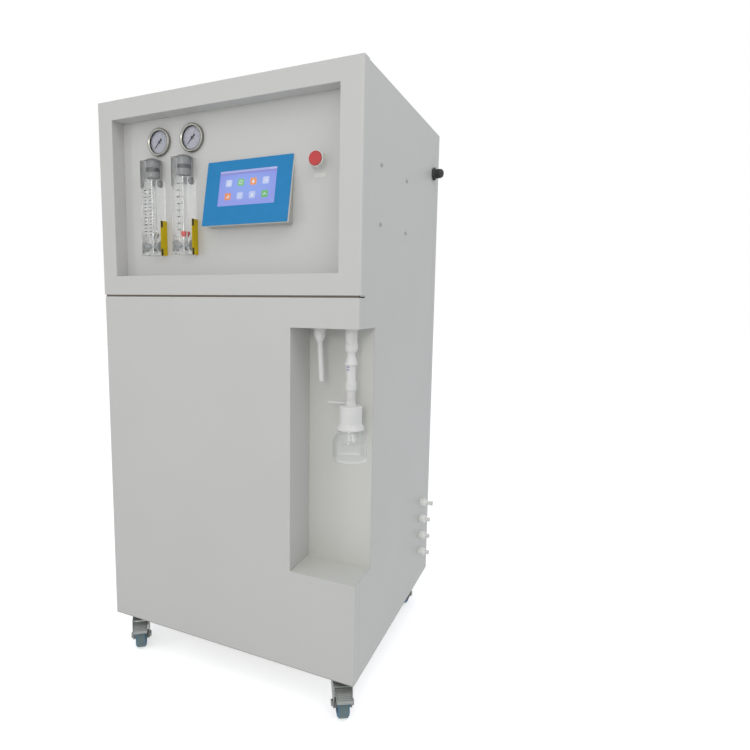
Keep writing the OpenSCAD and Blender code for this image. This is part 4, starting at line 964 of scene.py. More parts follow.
def flow_seats(axes):
    """The faces of each block's inlet: two cones that meet at its axis, and a dark plate of painted shade in
    the eye of the inlet.
    """
    cones = rounded([(SEAT_R, -SEAT_HALF, 0.4), (1, 0, 2), (SEAT_R, SEAT_HALF, 0.4)])
    turns = [math.tau * i / EYE_STEPS for i in range(EYE_STEPS)]
    eye = [(EYE_HALF[0] * math.cos(turn), EYE_HALF[1] * math.sin(turn)) for turn in turns]
    seats, eye_shades = Piece(), Piece()
    for foot in axes.values():
        spot = foot + Vector((0, 0, SEAT_RISE))
        seats.turned(cones, facing_right(spot), steps=48)
        eye_shades.plate(eye, EYE_T, facing_front(spot + EYE_FROM_SEAT), 0.3)
    seats.done("flow_seats", seat_grey, "plug_grey", "left_flow_body")
    eye_shades.done("flow_inlets", inlet_shade_dark, "pointer_black", "left_flow_body")


def flow_floats(axes):
    """A steel float at the left and a red one at the right, each wide at the head."""
    profile = rounded([
        (FLOAT_BORE, 0, 0.2), (3.5, 0, 0.3), (FLOAT_R, 7.4, 0.3), (FLOAT_R, 10.2, 0.5), (5.6, FLOAT_H, 0.3),
        (FLOAT_BORE, FLOAT_H, 0.2),
    ])
    for side, finish, slot in (("left", rod_steel, "bright_steel"), ("right", float_red, "float_red")):
        node = side + "_float"
        at = upright((axes[side].x, axes[side].y, box_mm(node)[0].z))
        turned_piece(node + "_turned", profile, at, finish, slot, node, steps=48, closed=True)


def scale_line(piece, face, across, up, size):
    """One printed line of a scale."""
    piece.block((*size, PRINT), face @ Matrix.Translation((across, up, PRINT / 2)))


def fine_scale(piece, face):
    """Two columns of lines, with a number between them in every second row."""
    for i in range(FINE_TICKS):
        up = FINE_FOOT + i * FINE_STEP
        for across, lengths in FINE_COLUMNS.items():
            scale_line(piece, face, across, up, (lengths[i % 2], FINE_LINE_W))
        if i % 2:
            spot = Matrix.Translation((FINE_NUMBER_AT, up, 0))
            piece.number((i + 1) // 2, FINE_NUMBER, PRINT, face @ spot)


def coarse_scale(piece, face):
    """One column of lines, each with its number."""
    for i in range(COARSE_TICKS):
        up = COARSE_FOOT + i * COARSE_STEP
        scale_line(piece, face, COARSE_LINE_AT, up, COARSE_LINE)
        piece.number(i + 1, COARSE_NUMBER, PRINT, face @ Matrix.Translation((COARSE_NUMBER_AT, up, 0)))


def flow_scales(axes):
    """Printed scales on the front faces: fine at the left, coarse at the right."""
    piece = Piece()
    for side, scale in zip(SIDES, (fine_scale, coarse_scale)):
        scale(piece, facing_front((axes[side].x, box_mm(side + "_flow_body")[0].y, axes[side].z)))
    piece.done("flow_scales", scale_ink, "pointer_black", "left_flow_body")


def flow_strips():
    """A yellow strip with black tabs on each block's right face, by the panel."""
    yellow, black = Piece(), Piece()
    for side in SIDES:
        low, high = box_mm(side + "_flow_body")
        face = facing_right((high.x, high.y - STRIP_D / 2, low.z + STRIP_H / 2))
        yellow.plate(rectangle(STRIP_D, STRIP_H, 1.5), STRIP_T, face, 0.3)
        for end in (-1, 1):
            corner = ((TAB_D - STRIP_D) / 2, end * (STRIP_H - TAB_H) / 2, STRIP_T - TAB_SUNK)
            black.plate(rectangle(TAB_D, TAB_H, 1.0), TAB_T, face @ Matrix.Translation(corner), 0.15)
    yellow.done("flow_strips", strip_yellow, "valve_brass", "left_flow_body")
    black.done("flow_strip_tabs", strip_black, "black_plastic", "left_flow_body")


def flow_meters():
    """Two panel flow meters below the gauges."""
    axes = flow_axes()
    flow_blocks()
    flow_plugs(axes)
    flow_seats(axes)
    flow_floats(axes)
    flow_scales(axes)
    flow_strips()
    softened("flow_ports", "flow_port_fittings", PORT_EDGE, plug_grey, "plug_grey")


# Touch display

TILT = math.radians(11.9)
UP_SLOPE = Vector((0, math.sin(TILT), math.cos(TILT)))
OUT_SLOPE = Vector((0, -math.cos(TILT), math.sin(TILT)))
FASCIA_T = 1.6
FILM_EDGE = 0.25
BEZEL_T = 5.0
BEZEL_EDGE = 0.7
DISPLAY_W = 192.0
DISPLAY_H = 129.4
HEEL = 3.0
BODY_LAP = 0.5
BODY_EDGE = 1.0
BODY_SEAT = 1.0
BODY_INSET = (12.4, 17.4, 20.0)
SCREEN_SIZE = (127.6, 70.1)
SCREEN_RISE = 8.25
SCREEN_SUNK = 0.4
SCREEN_ROOM = 0.4
SCREEN_LIGHT = 0.81
HEADER_FOOT = 0.88
HEADER_SPLIT = 0.94
HEADER_MARKS = 3
HEADER_MARK = (3.0, 1.8)
HEADER_INSET = 4.0
HEADER_STEP = 5.0
HEADER_RISE = 32.6
TILE = 14.0
TILE_T = 0.12
TILE_ROUND = 2.6
TILE_PITCH = SCREEN_SIZE[0] / 4.6
TILE_ROWS = (10.0, -16.5)
TILE_ORDER = ("pale", "green", "orange", "pale", "orange", "pale", "pale", "green")
TILE_HUES = {
    "orange": (srgb(240, 142, 84), srgb(250, 178, 128)),
    "green": (srgb(108, 188, 118), srgb(148, 214, 148)),
    "pale": (srgb(186, 202, 250), srgb(214, 226, 255)),
}
SIGN_T = 0.05


def display_place(across, up, out):
    """A frame on the sloping face, from the middle of the fascia's front."""
    origin = middle("display_fascia") + OUT_SLOPE * (FASCIA_T / 2 + out) + UP_SLOPE * up
    return place(origin + Vector((across, 0, 0)), (1, 0, 0), UP_SLOPE, OUT_SLOPE)


def on_slope(up, deep):
    """Y and Z of a point, given a way up the slope and a depth behind the fascia's front."""
    spot = middle("display_fascia") + OUT_SLOPE * (FASCIA_T / 2 - deep) + UP_SLOPE * up
    return spot.y, spot.z


def slope_at_panel(deep):
    """Where the slope, at a depth, meets the control panel."""
    start = on_slope(0, deep)
    return on_slope((PANEL_FACE - start[0]) / UP_SLOPE.y, deep)


def display_bezel():
    """The white bezel behind the fascia."""
    bottom, top = -DISPLAY_H / 2, DISPLAY_H / 2
    back = FASCIA_T + BEZEL_T
    corners = (
        (on_slope(bottom, FASCIA_T), 1.0), (on_slope(bottom, back), 1.2), (slope_at_panel(back), 0),
        ((PANEL_FACE, on_slope(top, FASCIA_T)[1]), 0), (on_slope(top, FASCIA_T), 0.8),
    )
    left = facing_right((middle("display_fascia").x - DISPLAY_W / 2, 0, 0))
    piece = Piece()
    piece.plate(rounded([(*corner, radius) for corner, radius in corners]), DISPLAY_W, left)
    piece.break_edges(BEZEL_EDGE)
    piece.done("display_bezel", shell_white, "display_shell", "display_housing")


def display_body():
    """The body behind the bezel: it tapers back to the panel and is sunk in it."""
    low, high = box_mm("display_housing")
    centre_x = middle("display_fascia").x
    deep = FASCIA_T + BEZEL_T - BODY_LAP
    wedge = [on_slope(HEEL - DISPLAY_H / 2, deep), (PANEL_FACE, low.z + HEEL), slope_at_panel(deep)]
    piece = Piece()
    piece.plate(wedge, DISPLAY_W - 2 * HEEL, facing_right((centre_x - DISPLAY_W / 2 + HEEL, 0, 0)))
    piece.break_edges(BODY_EDGE)
    across, below, above = BODY_INSET
    foot, top = low.z + below, high.z - above
    size = (DISPLAY_W - 2 * across, high.y - PANEL_FACE + BODY_SEAT, top - foot)
    sunk = upright((centre_x, (PANEL_FACE - BODY_SEAT + high.y) / 2, (foot + top) / 2))
    piece.block(size, sunk, 1.5)
    piece.done("display_body", shell_shaded_grey, "display_shell", "display_housing", "display_housing")


def display_fascia():
    """The printed film around the screen."""
    outer = rectangle(DISPLAY_W, DISPLAY_H, 1.6)
    window = rectangle(SCREEN_SIZE[0] + SCREEN_ROOM, SCREEN_SIZE[1] + SCREEN_ROOM, 0.6)
    inner = [(x, y + SCREEN_RISE) for x, y in window]
    piece = Piece()
    piece.rim(outer, inner, FASCIA_T, display_place(0, 0, -FASCIA_T), FILM_EDGE)
    piece.done("display_film", fascia_blue, "fascia_blue", "display_fascia", "display_fascia")


def screen_glow():
    """The lit screen: lilac blue, paler in its middle and towards its lower right, with a header band."""
    low, high = box_mm("display_screen")
    glow = Finish("screen", Roughness=0.3, Specular_IOR_Level=0.25, Emission_Strength=SCREEN_LIGHT)
    rise = glow.axis("Z").between(low.z * MM, high.z * MM)
    across = glow.axis("X").between(low.x * MM, high.x * MM)
    cloud = glow.noise(60, 1)
    drift = rise * 0.5 + cloud * 0.7 - across * 0.15
    field = glow.blend(drift.between(0, 1), srgb(158, 170, 242), srgb(143, 156, 240))
    middle_glow = (rise - 0.55) * (rise - 0.55) * 4 + (across - 0.5) * (across - 0.5) * 3
    field = glow.blend(middle_glow.between(0, 0.9), srgb(150, 178, 250), field)
    header = glow.blend(rise > HEADER_SPLIT, srgb(146, 148, 222), srgb(178, 186, 240))
    glow.set("Base Color", (0.02, 0.02, 0.04, 1))
    glow.set("Emission Color", glow.blend(rise > HEADER_FOOT, field, header))
    return glow


def tile_places():
    """Tile centres on the screen: two rows of four."""
    columns = [(column - 1.5) * TILE_PITCH for column in range(4)]
    return [(across, SCREEN_RISE + up) for up in TILE_ROWS for across in columns]


def display_screen():
    """The glowing screen with a grid of plain tiles, each with a simple sign."""
    piece = Piece()
    thick = FASCIA_T - SCREEN_SUNK
    piece.plate(rectangle(*SCREEN_SIZE, 0.5), thick, display_place(0, SCREEN_RISE, -FASCIA_T))
    piece.done("display_panel", screen_glow(), "screen", "display_screen", "display_screen")
    low, high = box_mm("display_screen")
    tiles = {hue: Piece() for hue in TILE_HUES}
    signs = Piece()
    for number, (hue, (across, up)) in enumerate(zip(TILE_ORDER, tile_places())):
        at = display_place(across, up, -SCREEN_SUNK)
        tiles[hue].plate(rectangle(TILE, TILE, TILE_ROUND), TILE_T, at, 0.04)
        draw_sign = SIGNS[number % len(SIGNS)]
        draw_sign(signs, at @ Matrix.Translation((0, 0, TILE_T)))
    for number in range(HEADER_MARKS):
        across = SCREEN_SIZE[0] / 2 - HEADER_INSET - HEADER_STEP * number
        mark = display_place(across, SCREEN_RISE + HEADER_RISE, -SCREEN_SUNK)
        tiles["pale"].plate(rectangle(*HEADER_MARK, 0.5), TILE_T, mark, 0.03)
    for hue, (dark, light) in TILE_HUES.items():
        lit = glowing("tile_" + hue, dark, light, SCREEN_LIGHT, low.z, high.z)
        tiles[hue].done("screen_tiles_" + hue, lit, "screen", "display_screen")
    sign_lit = glowing("tile_sign", srgb(228, 232, 250), srgb(246, 248, 255), SCREEN_LIGHT, low.z, high.z)
    signs.done("screen_signs", sign_lit, "screen", "display_screen")


def bars_sign(piece, at):
    """Three bars of growing height on one line."""
    heights = (3.0, 5.0, 7.0)
    for i, tall in enumerate(heights):
        bar = at @ Matrix.Translation(((i - 1) * 2.4, (tall - heights[-1]) / 2, 0))
        piece.plate(rectangle(1.5, tall, 0.4), SIGN_T, bar)


def ring_sign(piece, at):
    """A ring with a gap."""
    piece.band(2.6, 1.2, 0, 330, SIGN_T, at)


def drop_sign(piece, at):
    """A drop with its tip up."""
    belly = [(x, y - 0.9) for x, y in arc((0, 0), 2.6, -210, 30, 16)]
    piece.plate([*belly, (0, 4.2)], SIGN_T, at)


def chevron_sign(piece, at):
    """Two arms that lean together."""
    for lean in (-1, 1):
        arm = at @ Matrix.Translation((lean * 1.5, 0, 0)) @ Matrix.Rotation(lean * 0.78, 4, "Z")
        piece.plate(rectangle(1.4, 5.6, 0.5), SIGN_T, arm)


SIGNS = (bars_sign, ring_sign, drop_sign, chevron_sign)


def touch_display():
    """The wedge-shaped touch display."""
    display_bezel()
    display_body()
    display_fascia()
    display_screen()


# Push button

LABEL_SIZE = (24.0, 8.0)
LABEL_T = 0.4
LABEL_FROM_CAP = (1.5, -26.0, 0)


def push_button():
    """A red cap in a pale collar, with a bare label plate below."""
    centre = middle("button_cap")
    at = facing_front((centre.x, PANEL_FACE, centre.z))
    collar = rounded([
        (11, -22, 0), (11, 0, 0), (15.4, 0, 0.3), (15.4, 1.6, 0.5), (14.6, 2.0, 0.2), (14.6, 19, 1.3),
        (13, 19, 0.5), (13, 10, 0),
    ])
    piece = Piece()
    piece.turned(collar, at, steps=72)
    back_nut(piece, at, radius=16, thick=6, corner=0.8, edge=0.5)
    piece.done("button_ring", collar_white, "white_plastic", "button_collar", "button_collar")
    cap = rounded([
        (5, -13, 0), (5, 15, 0), (12.7, 15, 0.5), (12.7, 20.6, 0.9), (10.8, 20.7, 0.6), (9.6, 20.3, 0.5),
        (2, 20.1, 0),
    ])
    turned_piece("button_cap_domed", cap, at, button_red, "button_red", "button_cap", steps=72)
    label = Piece()
    label.plate(rectangle(*LABEL_SIZE, 0.8), LABEL_T, at @ Matrix.Translation(LABEL_FROM_CAP), 0.1)
    label.done("button_label", label_pale, "white_plastic", "control_panel")


# Right side fittings

GLAND_R = 10.0
GLAND_BORE = 4.5
GLAND_HEXAGON_R = 15.4
GLAND_BASE_H = 7.0
NUT_R = 11.1
NUT_GRIP = (8.5, 17.0)
NUT_FLUTES = 12
FLUTE_D = 0.7
PORTS = 4
PORT_PITCH = 44.5
PORT_FACE = 15.0
PORT_BORE = 4.5
STUB_FOOT = 5.5
STUB_R = 4.75
STUB_BORE = 3.0
STUB_EXTRA = 6.0
PLAIN_FLARE = 0.6
WIDE_FLARE = 1.6


def fluted(radius, height, angle):
    """The gland nut's radius: shallow flutes run round its grip."""
    grip = NUT_GRIP[0] < height < NUT_GRIP[1] and radius > GLAND_R
    return radius - (FLUTE_D * max(0.0, math.cos(NUT_FLUTES * angle)) if grip else 0)


def cable_gland():
    """A black gland: a six-sided base, a fluted nut with a round nose, and a seal in its mouth."""
    low, high = box_mm("cable_gland")
    centre = (low + high) / 2
    at = facing_right((SIDE_FACE, centre.y, centre.z))
    tall = high.x - SIDE_FACE
    nut = rounded([
        (GLAND_BORE, -14, 0), (GLAND_R, -14, 0.5), (GLAND_R, 0, 0), (NUT_R, 6.5, 0), (NUT_R, 8, 0),
        (NUT_R, 9, 0), (NUT_R, 16.4, 0), (NUT_R, 17.6, 0.5), (9.6, 22.6, 3.5), (6.2, tall, 1.0),
        (GLAND_BORE, tall, 0.4),
    ])
    piece = Piece()
    piece.turned(nut, at, steps=96, closed=True, shape=fluted)
    piece.plate(hexagon(GLAND_HEXAGON_R, 0.8, math.radians(30)), GLAND_BASE_H, at, 0.9)
    back_nut(piece, at, GLAND_HEXAGON_R, thick=5, corner=0.8, edge=0.6)
    piece.done("gland_nut", black_plastic, "black_plastic", "cable_gland", "cable_gland")
    mouth = rounded([(3.4, 12, 0), (4.45, 12, 0), (4.45, tall - 1.2, 0.2), (3.4, tall - 0.6, 0.3)])
    seal = Piece()
    seal.turned(mouth, at, steps=48, closed=True)
    seal.done("gland_seal", gasket_rubber, "black_plastic", "cable_gland")


def stub_profile(end, flare):
    """A hose stub from inside its port to a flared end."""
    return rounded([
        (STUB_BORE, STUB_FOOT, 0.2), (4.2, STUB_FOOT, 0.2), (4.2, PORT_FACE, 0), (STUB_R, PORT_FACE, 0.2),
        (4.6, end - 6, 1), (STUB_R + flare, end - 1.6, 0.6), (STUB_R + flare * 0.8, end, 0.3),
        (STUB_BORE + flare, end, 0.3), (STUB_BORE, end - 4, 0.5),
    ])


def water_ports():
    """A column of push-in ports with their hose stubs, the topmost longer and wider."""
    centre = middle("water_ports")
    body = rounded([
        (8, -28, 0), (8, 0, 0), (11, 0, 0.4), (11, 1.8, 0.6), (10.3, 2.2, 0.3), (10.6, 4, 1.2),
        (10.8, 7.6, 2.2), (9.8, 11.4, 3), (7.6, 14.2, 1.6), (7, PORT_FACE, 0.4), (PORT_BORE, PORT_FACE, 0.4),
        (PORT_BORE, 5, 0),
    ])
    longest = box_mm("port_stubs")[1].x - SIDE_FACE
    profiles = [stub_profile(longest - STUB_EXTRA, PLAIN_FLARE)] * (PORTS - 1)
    profiles.append(stub_profile(longest, WIDE_FLARE))
    ports, stubs = Piece(), Piece()
    for i, stub in enumerate(profiles):
        at = facing_right((SIDE_FACE, centre.y, centre.z + (i - (PORTS - 1) / 2) * PORT_PITCH))
        ports.turned(body, at)
        back_nut(ports, at, radius=13, thick=6, corner=0.6, edge=0.5)
        stubs.turned(stub, at, steps=48, closed=True)
    ports.done("port_bodies", port_white_lit, "white_plastic", "water_ports", "water_ports")
    stubs.done("port_hose_stubs", port_white_lit, "white_plastic", "port_stubs", "port_stubs")


# Dispensing niche

FIT = 0.1
SPIGOT_R = 6.0
SPIGOT_L = 16.0
TUBE_R = 5.45
TUBE_BORE = 3.95
TUBE_L = 90.0
TUBE_SUNK = 14.0
TUBE_LEAN = math.radians(-3)
CLIP_R = 9.1
CLIP_T = 0.5
CLIP_H = 2.0
CLIP_HEIGHTS = (38.4, 43.4)
CLIP_ARC = (238, 272)
STEM_WALL = 2.0
BELL_NARROW = 1.5
BELL_WALL = 2.0
BELL_NECK_R = 22.0
BELL_STEPS = 10


def on_axis(node, height):
    """A place at a height on a node's upright axis."""
    axis = middle(node)
    return upright((axis.x, axis.y, height))


def ceiling_fittings(ceiling):
    """The adapter in the niche's ceiling and the outlet's cup beside it."""
    adapter = rounded([
        (SPIGOT_R, SPIGOT_L, 0), (SPIGOT_R, 0, 0), (12.2, 0, 0.3), (12.2, -3, 0.6), (11.6, -3.6, 0.3),
        (11.4, -28, 0.4), (12.4, -30, 1), (12.4, -39, 2), (9.8, -44.6, 1.2), (8, -45.4, 0.6), (8, -53, 0),
    ])
    cup = rounded([
        (SPIGOT_R, SPIGOT_L, 0), (SPIGOT_R, 0, 0), (12, 0, 0.4), (12, -4, 0.8), (11.3, -4.6, 0.4),
        (11.5, -15.5, 2.5), (8.4, -22.5, 2), (7.9, -27, 0.6), (6.4, -27, 0.4), (6.4, -13, 0),
    ])
    for node, profile in (("filter_adapter", adapter), ("outlet_cup", cup)):
        at = on_axis(node, ceiling)
        turned_piece(node + "_turned", profile, at, white_plastic, "white_plastic", node)


def outlet_tube(ceiling):
    """A straight outlet tube that leans to the right below its cup."""
    at = on_axis("outlet_cup", ceiling - TUBE_SUNK) @ Matrix.Rotation(TUBE_LEAN, 4, "Y")
    tube = rounded([
        (TUBE_BORE, 0, 0.3), (TUBE_R, 0, 0.3), (TUBE_R, 2 - TUBE_L, 1.2), (4.9, -TUBE_L, 0.8),
        (TUBE_BORE, -TUBE_L, 0.4),
    ])
    turned_piece("outlet_tube_turned", tube, at, white_plastic, "white_plastic", "outlet_tube",
                 steps=48, closed=True)


def stem_radius():
    """Outer radius of the milky stem."""
    low, high = box_mm("filter_stem")
    return (high.x - low.x) / 2


def check_valve():
    """The check valve, with its blue clip showing in front."""
    at = on_axis("check_valve", box_mm("check_valve")[0].z)
    bore = stem_radius() + FIT
    valve = rounded([
        (bore, 9, 0), (bore, 0, 0.3), (10.75, 0, 0.8), (10.75, 16.6, 0.8), (9.9, 18, 0.5),
        (9.25, 18.6, 0.4), (9.25, 47.2, 0.5), (12.2, 48, 0.5), (12.75, 49, 0.4), (12.75, 51, 0.8),
        (8.9, 62.6, 2.5), (8.5, 64, 0),
    ])
    turned_piece("check_valve_turned", valve, at, white_plastic, "white_plastic", "check_valve")
    clip = Piece()
    for height in CLIP_HEIGHTS:
        clip.band(CLIP_R, CLIP_T, *CLIP_ARC, CLIP_H, at @ Matrix.Translation((0, 0, height)))
    clip.done("valve_clip", clip_blue, "white_plastic", "check_valve")


def filter_stem():
    """The milky tube between the valve and the capsule."""
    low, high = box_mm("filter_stem")
    radius, tall = stem_radius(), high.z - low.z
    bore = radius - STEM_WALL
    stem = rounded([(bore, 0, 0.3), (radius, 0, 0.4), (radius, tall, 0.4), (bore, tall, 0.3)])
    at = on_axis("check_valve", low.z)
    turned_piece("filter_stem_tube", stem, at, milky_plastic, "white_plastic", "filter_stem", closed=True)


def capsule_cap():
    """The capsule's cap, from its nozzle and flange to the collar around the stem."""
    low, high = box_mm("filter_cap")
    seat = box_mm("filter_bell")[1].z
    foot, top = low.z - seat, high.z - seat
    bore = stem_radius() + FIT
    cap = rounded([
        (4, foot, 0.3), (6.5, foot, 0.6), (5.9, -3, 0), (6.5, 0, 0), (26.4, 0, 0.6), (27, 1, 0.5),
        (27, 3.6, 0.8), (23.2, 10, 2), (22.3, 12.5, 1), (22.3, 46, 3.2), (11.5, 46.8, 1.2), (10, 48.5, 1),
        (10, top, 0.3), (bore, top, 0.2), (bore, top - 8, 0),
    ])
    at = on_axis("filter_bell", seat)
    turned_piece("filter_cap_turned", cap, at, white_plastic, "white_plastic", "filter_cap", steps=80)


def capsule_vent():
    """The small nipple that vents the capsule to the left."""
    low, high = box_mm("filter_vent")
    spot = (high.x, middle("filter_bell").y, (low.z + high.z) / 2)
    at = place(spot, (0, 1, 0), (0, 0, -1), (-1, 0, 0))
    length = high.x - low.x
    nipple = rounded([
        (1.3, 0, 0.2), (2.6, 0, 0.2), (2.7, 3, 0.4), (2.4, length - 9, 2), (2.3, length - 6, 0.3),
        (2.75, length - 5.5, 0.3), (1.9, length, 0.4), (1.3, length, 0.2),
    ])
    turned_piece("filter_vent_nipple", nipple, at, milky_plastic, "white_plastic", "filter_vent",
                 steps=40, closed=True)


def capsule_bell():
    """The clear filling bell below the flange."""
    low, high = box_mm("filter_bell")
    tall = high.z - low.z - BELL_SHORT
    foot = high.x - middle("filter_bell").x - BELL_NARROW
    neck_bore = BELL_NECK_R - BELL_WALL
    bell = rounded([
        (foot - BELL_WALL, -tall, 0.5), (foot - 0.3, -tall, 0.8), (foot, -tall + 3, 0.8), (foot, -20, 18),
        (22.6, -2.2, 4), (BELL_NECK_R, 0, 0), (neck_bore, 0, 0), (neck_bore, -3, 2),
        (foot - BELL_WALL, -21, 16),
    ], BELL_STEPS)
    at = on_axis("filter_bell", high.z)
    lets_light_by(turned_piece("filter_bell_clear", bell, at, bell_clear, "clear_lens", "filter_bell",
                               steps=96, closed=True))


def dispensing_niche():
    """What hangs from the niche's ceiling."""
    ceiling = box_mm("outlet_cup")[1].z - SPIGOT_L
    ceiling_fittings(ceiling)
    outlet_tube(ceiling)
    check_valve()
    filter_stem()
    capsule_cap()
    capsule_vent()
    capsule_bell()


# Casters

CASTERS = ("front_left", "front_right", "rear_left", "rear_right")
PEDALS = {"left_brake_pedal": "left_brake_press", "right_brake_pedal": "right_brake_press"}
TYRE_T = 8.0
TYRE_HALF = 11.5
TREAD_SHARE = 0.8
HUB_R = 9.6
HUB_BORE = 4.1
HUB_HALF = 16.0
WEB_HALF = 4.0
SPOKES = 6
SPOKE_T = 2.2
SPOKE_SHORT = 4.0
SPOKE_GAP = 0.6
PEDAL_SLOPE = math.radians(12)
PEDAL_TOP = 3.4
PEDAL_LIP = 3.6
PEDAL_HALF = 15.3
PEDAL_REACH = 30.0
CHEEK_T = 1.4
BARREL_R = 4.0
BARREL_HALF = PEDAL_HALF + 0.6
PIN_R = 2.0
PIN_HALF = 19.0
LIP_RIBS = 2
LIP_RIB = (1.4, 2 * PEDAL_HALF - 1.6, 1.7)
LIP_RIB_STEP = 2.9
TOP_RIBS = 4
TOP_RIB = (1.5, 2 * PEDAL_HALF - 6, 0.9)
TOP_RIB_STEP = 4.0
FORK_EDGE = 0.6
PLATE_EDGE = 0.5


def caster_tyre(caster, at, outer, inner):
    """A cast tyre with a worn tread."""
    half, node = TYRE_HALF, caster + "_wheel"
    tyre = rounded([
        (inner + 0.1, -half + 0.6, 0.3), (inner + 1.4, -half, 0.5), (outer - 2.8, -half, 1.4),
        (outer - 0.2, -half / 2, 3.5), (outer - 0.2, half / 2, 3.5), (outer - 2.8, half, 1.4),
        (inner + 1.4, half, 0.5), (inner + 0.1, half - 0.6, 0.3),
    ])
    turned_piece(caster + "_tyre", tyre, at, tyre_blue, "wheel_blue", node, steps=96, closed=True)
    worn = half * TREAD_SHARE
    tread = rounded([
        (outer - 1.4, -worn, 0), (outer - 0.1, -worn + 0.5, 1.2), (outer, 0, 9),
        (outer - 0.1, worn - 0.5, 1.2), (outer - 1.4, worn, 0),
    ])
    piece = Piece()
    piece.turned(tread, at, steps=96, closed=True)
    piece.done(caster + "_tread", tread_grey, "wheel_blue", node)


def caster_core(caster, at, inner):
    """A moulded core: hub, web, spokes and the rim under the tyre."""
    rim = TYRE_HALF - 1.2
    core = rounded([
        (HUB_BORE, -HUB_HALF, 0.3), (HUB_R, -HUB_HALF, 0.8), (10, -WEB_HALF, 0.8),
        (inner - 1.9, -WEB_HALF, 0.8), (inner - 1.1, -rim, 0.3), (inner + 0.15, -rim, 0),
        (inner + 0.15, rim, 0), (inner - 1.1, rim, 0.3), (inner - 1.9, WEB_HALF, 0.8),
        (10, WEB_HALF, 0.8), (HUB_R, HUB_HALF, 0.8), (HUB_BORE, HUB_HALF, 0.3),
    ])
    piece = Piece()
    piece.turned(core, at, closed=True)
    spoke_l = inner - (HUB_R + SPOKE_GAP)
    for i in range(SPOKES):
        turn = Matrix.Rotation(math.tau * i / SPOKES, 4, "Z")
        spoke = at @ turn @ Matrix.Translation((HUB_R + spoke_l / 2, 0, 0))
        piece.block((spoke_l, SPOKE_T, 2 * rim - SPOKE_SHORT), spoke, 0.5)
    piece.done(caster + "_core", core_grey, "zinc_steel", caster + "_wheel")


def caster_wheel(caster):
    """A wheel that stands on the floor, with its axle as its own Z."""
    axle = Vector(joints[caster + "_roll"]["axis"]).normalized()
    centre = joint_mm(caster + "_roll")
    at = place(centre, (0, 0, 1), axle.cross((0, 0, 1)), axle)
    outer = centre.z
    inner = outer - TYRE_T
    caster_tyre(caster, at, outer, inner)
    caster_core(caster, at, inner)


def pedal_pin(piece, at):
    """The rolled eye of a pedal and the pin through it."""
    wide = BARREL_HALF
    barrel = rounded([(PIN_R, -wide, 0), (BARREL_R, -wide, 0.4), (BARREL_R, wide, 0.4), (PIN_R, wide, 0)])
    piece.turned(barrel, at, steps=40, closed=True)
    shaft = rounded([
        (PIN_R, -PIN_HALF, 0.4), (PIN_R, PIN_HALF, 0.4), (0.2, PIN_HALF, 0), (0.2, -PIN_HALF, 0),
    ])
    piece.turned(shaft, at, steps=32, closed=True)


def pedal_tread(piece, sloped):
    """The pressed top with its lip over the tyre, and a cheek at each side."""
    half, reach = PEDAL_HALF, PEDAL_REACH
    lip = rounded([
        (0, 1.0, 0.2), (0, PEDAL_TOP, 0.3), (reach - 0.8, PEDAL_TOP, 1.4), (reach, -PEDAL_LIP, 0.3),
        (reach - 2.4, -PEDAL_LIP, 0.3), (reach - 3, 1.0, 1.0),
    ])
    piece.plate(lip, 2 * half, sloped @ facing_front((0, half, 0)))
    cheek = rounded([
        (0, 2.6, 0.3), (-2, -3, 1), (8, -8, 2), (reach - 2, -PEDAL_LIP, 0.6), (reach - 2, 2.6, 0.3),
    ])
    for y in (half, CHEEK_T - half):
        piece.plate(cheek[::-1], CHEEK_T, sloped @ facing_front((0, y, 0)))


def pedal_ribs(piece, sloped):
    """Ribs across the lip and across the top, where a shoe presses."""
    for i in range(LIP_RIBS):
        rib = sloped @ Matrix.Translation((PEDAL_REACH - 0.1, 0, 1.0 - LIP_RIB_STEP * i))
        piece.block(LIP_RIB, rib, 0.4)
    for i in range(TOP_RIBS):
        rib = sloped @ Matrix.Translation((PEDAL_REACH - 5 - TOP_RIB_STEP * i, 0, PEDAL_TOP))
        piece.block(TOP_RIB, rib, 0.35)


def brake_pedal(node, joint):
    """A ribbed pedal that tips on its pin."""
    axle = Vector(joints[joint]["axis"]).normalized()
    ahead = axle.cross((0, 0, 1))
    centre = joint_mm(joint)
    sloped = place(centre, ahead, axle, (0, 0, 1)) @ Matrix.Rotation(PEDAL_SLOPE, 4, "Y")
    pedal, ribs = Piece(), Piece()
    pedal_pin(pedal, place(centre, ahead, (0, 0, 1), -axle))
    pedal_tread(pedal, sloped)
    pedal.done(node + "_tread", pedal_paint, "zinc_steel", node, node)
    pedal_ribs(ribs, sloped)
    # The ribs carry painted highlight: they are lighter than the pedal.
    ribs.done(node + "_ribs", pedal_rib_highlight, "zinc_steel", node)


def casters():
    """Four swivel casters, the front two with brakes."""
    for caster in CASTERS:
        caster_wheel(caster)
        softened(caster + "_fork", caster + "_fork_pressed", FORK_EDGE, caster_grey, "zinc_steel")
    for node, joint in PEDALS.items():
        brake_pedal(node, joint)
    softened("caster_plates", "caster_plates_pressed", PLATE_EDGE, caster_grey, "zinc_steel")


# Nodes that keep their own solids

def finish_nodes():
    """Finishes for the nodes whose solids show as they are, or lie inside the cabinet."""
    finishes = {
        paint: ["mid_shelf"],
        dial_shaded_grey: ["gauge_dials"],
        pointer_black: ["left_gauge_pointer", "right_gauge_pointer"],
        rod_steel: ["flow_guide_rods"],
        black_plastic: ["button_contact_block"],
        zinc: ["caster_bolts", "power_supply"],
        vessel_white: ["prefilter_housings", "membrane_vessels", "polishing_cartridges"],
        pump_grey: ["booster_pump"],
        valve_brass: ["solenoid_valves"],
        white_plastic: ["process_tubing"],
        board_green: ["control_board"],
    }
    for finish, names in finishes.items():
        for name in names:
            slots = nodes[name].data.materials
            slots.clear()
            slots.append(finish.material)


# Stage, light and camera

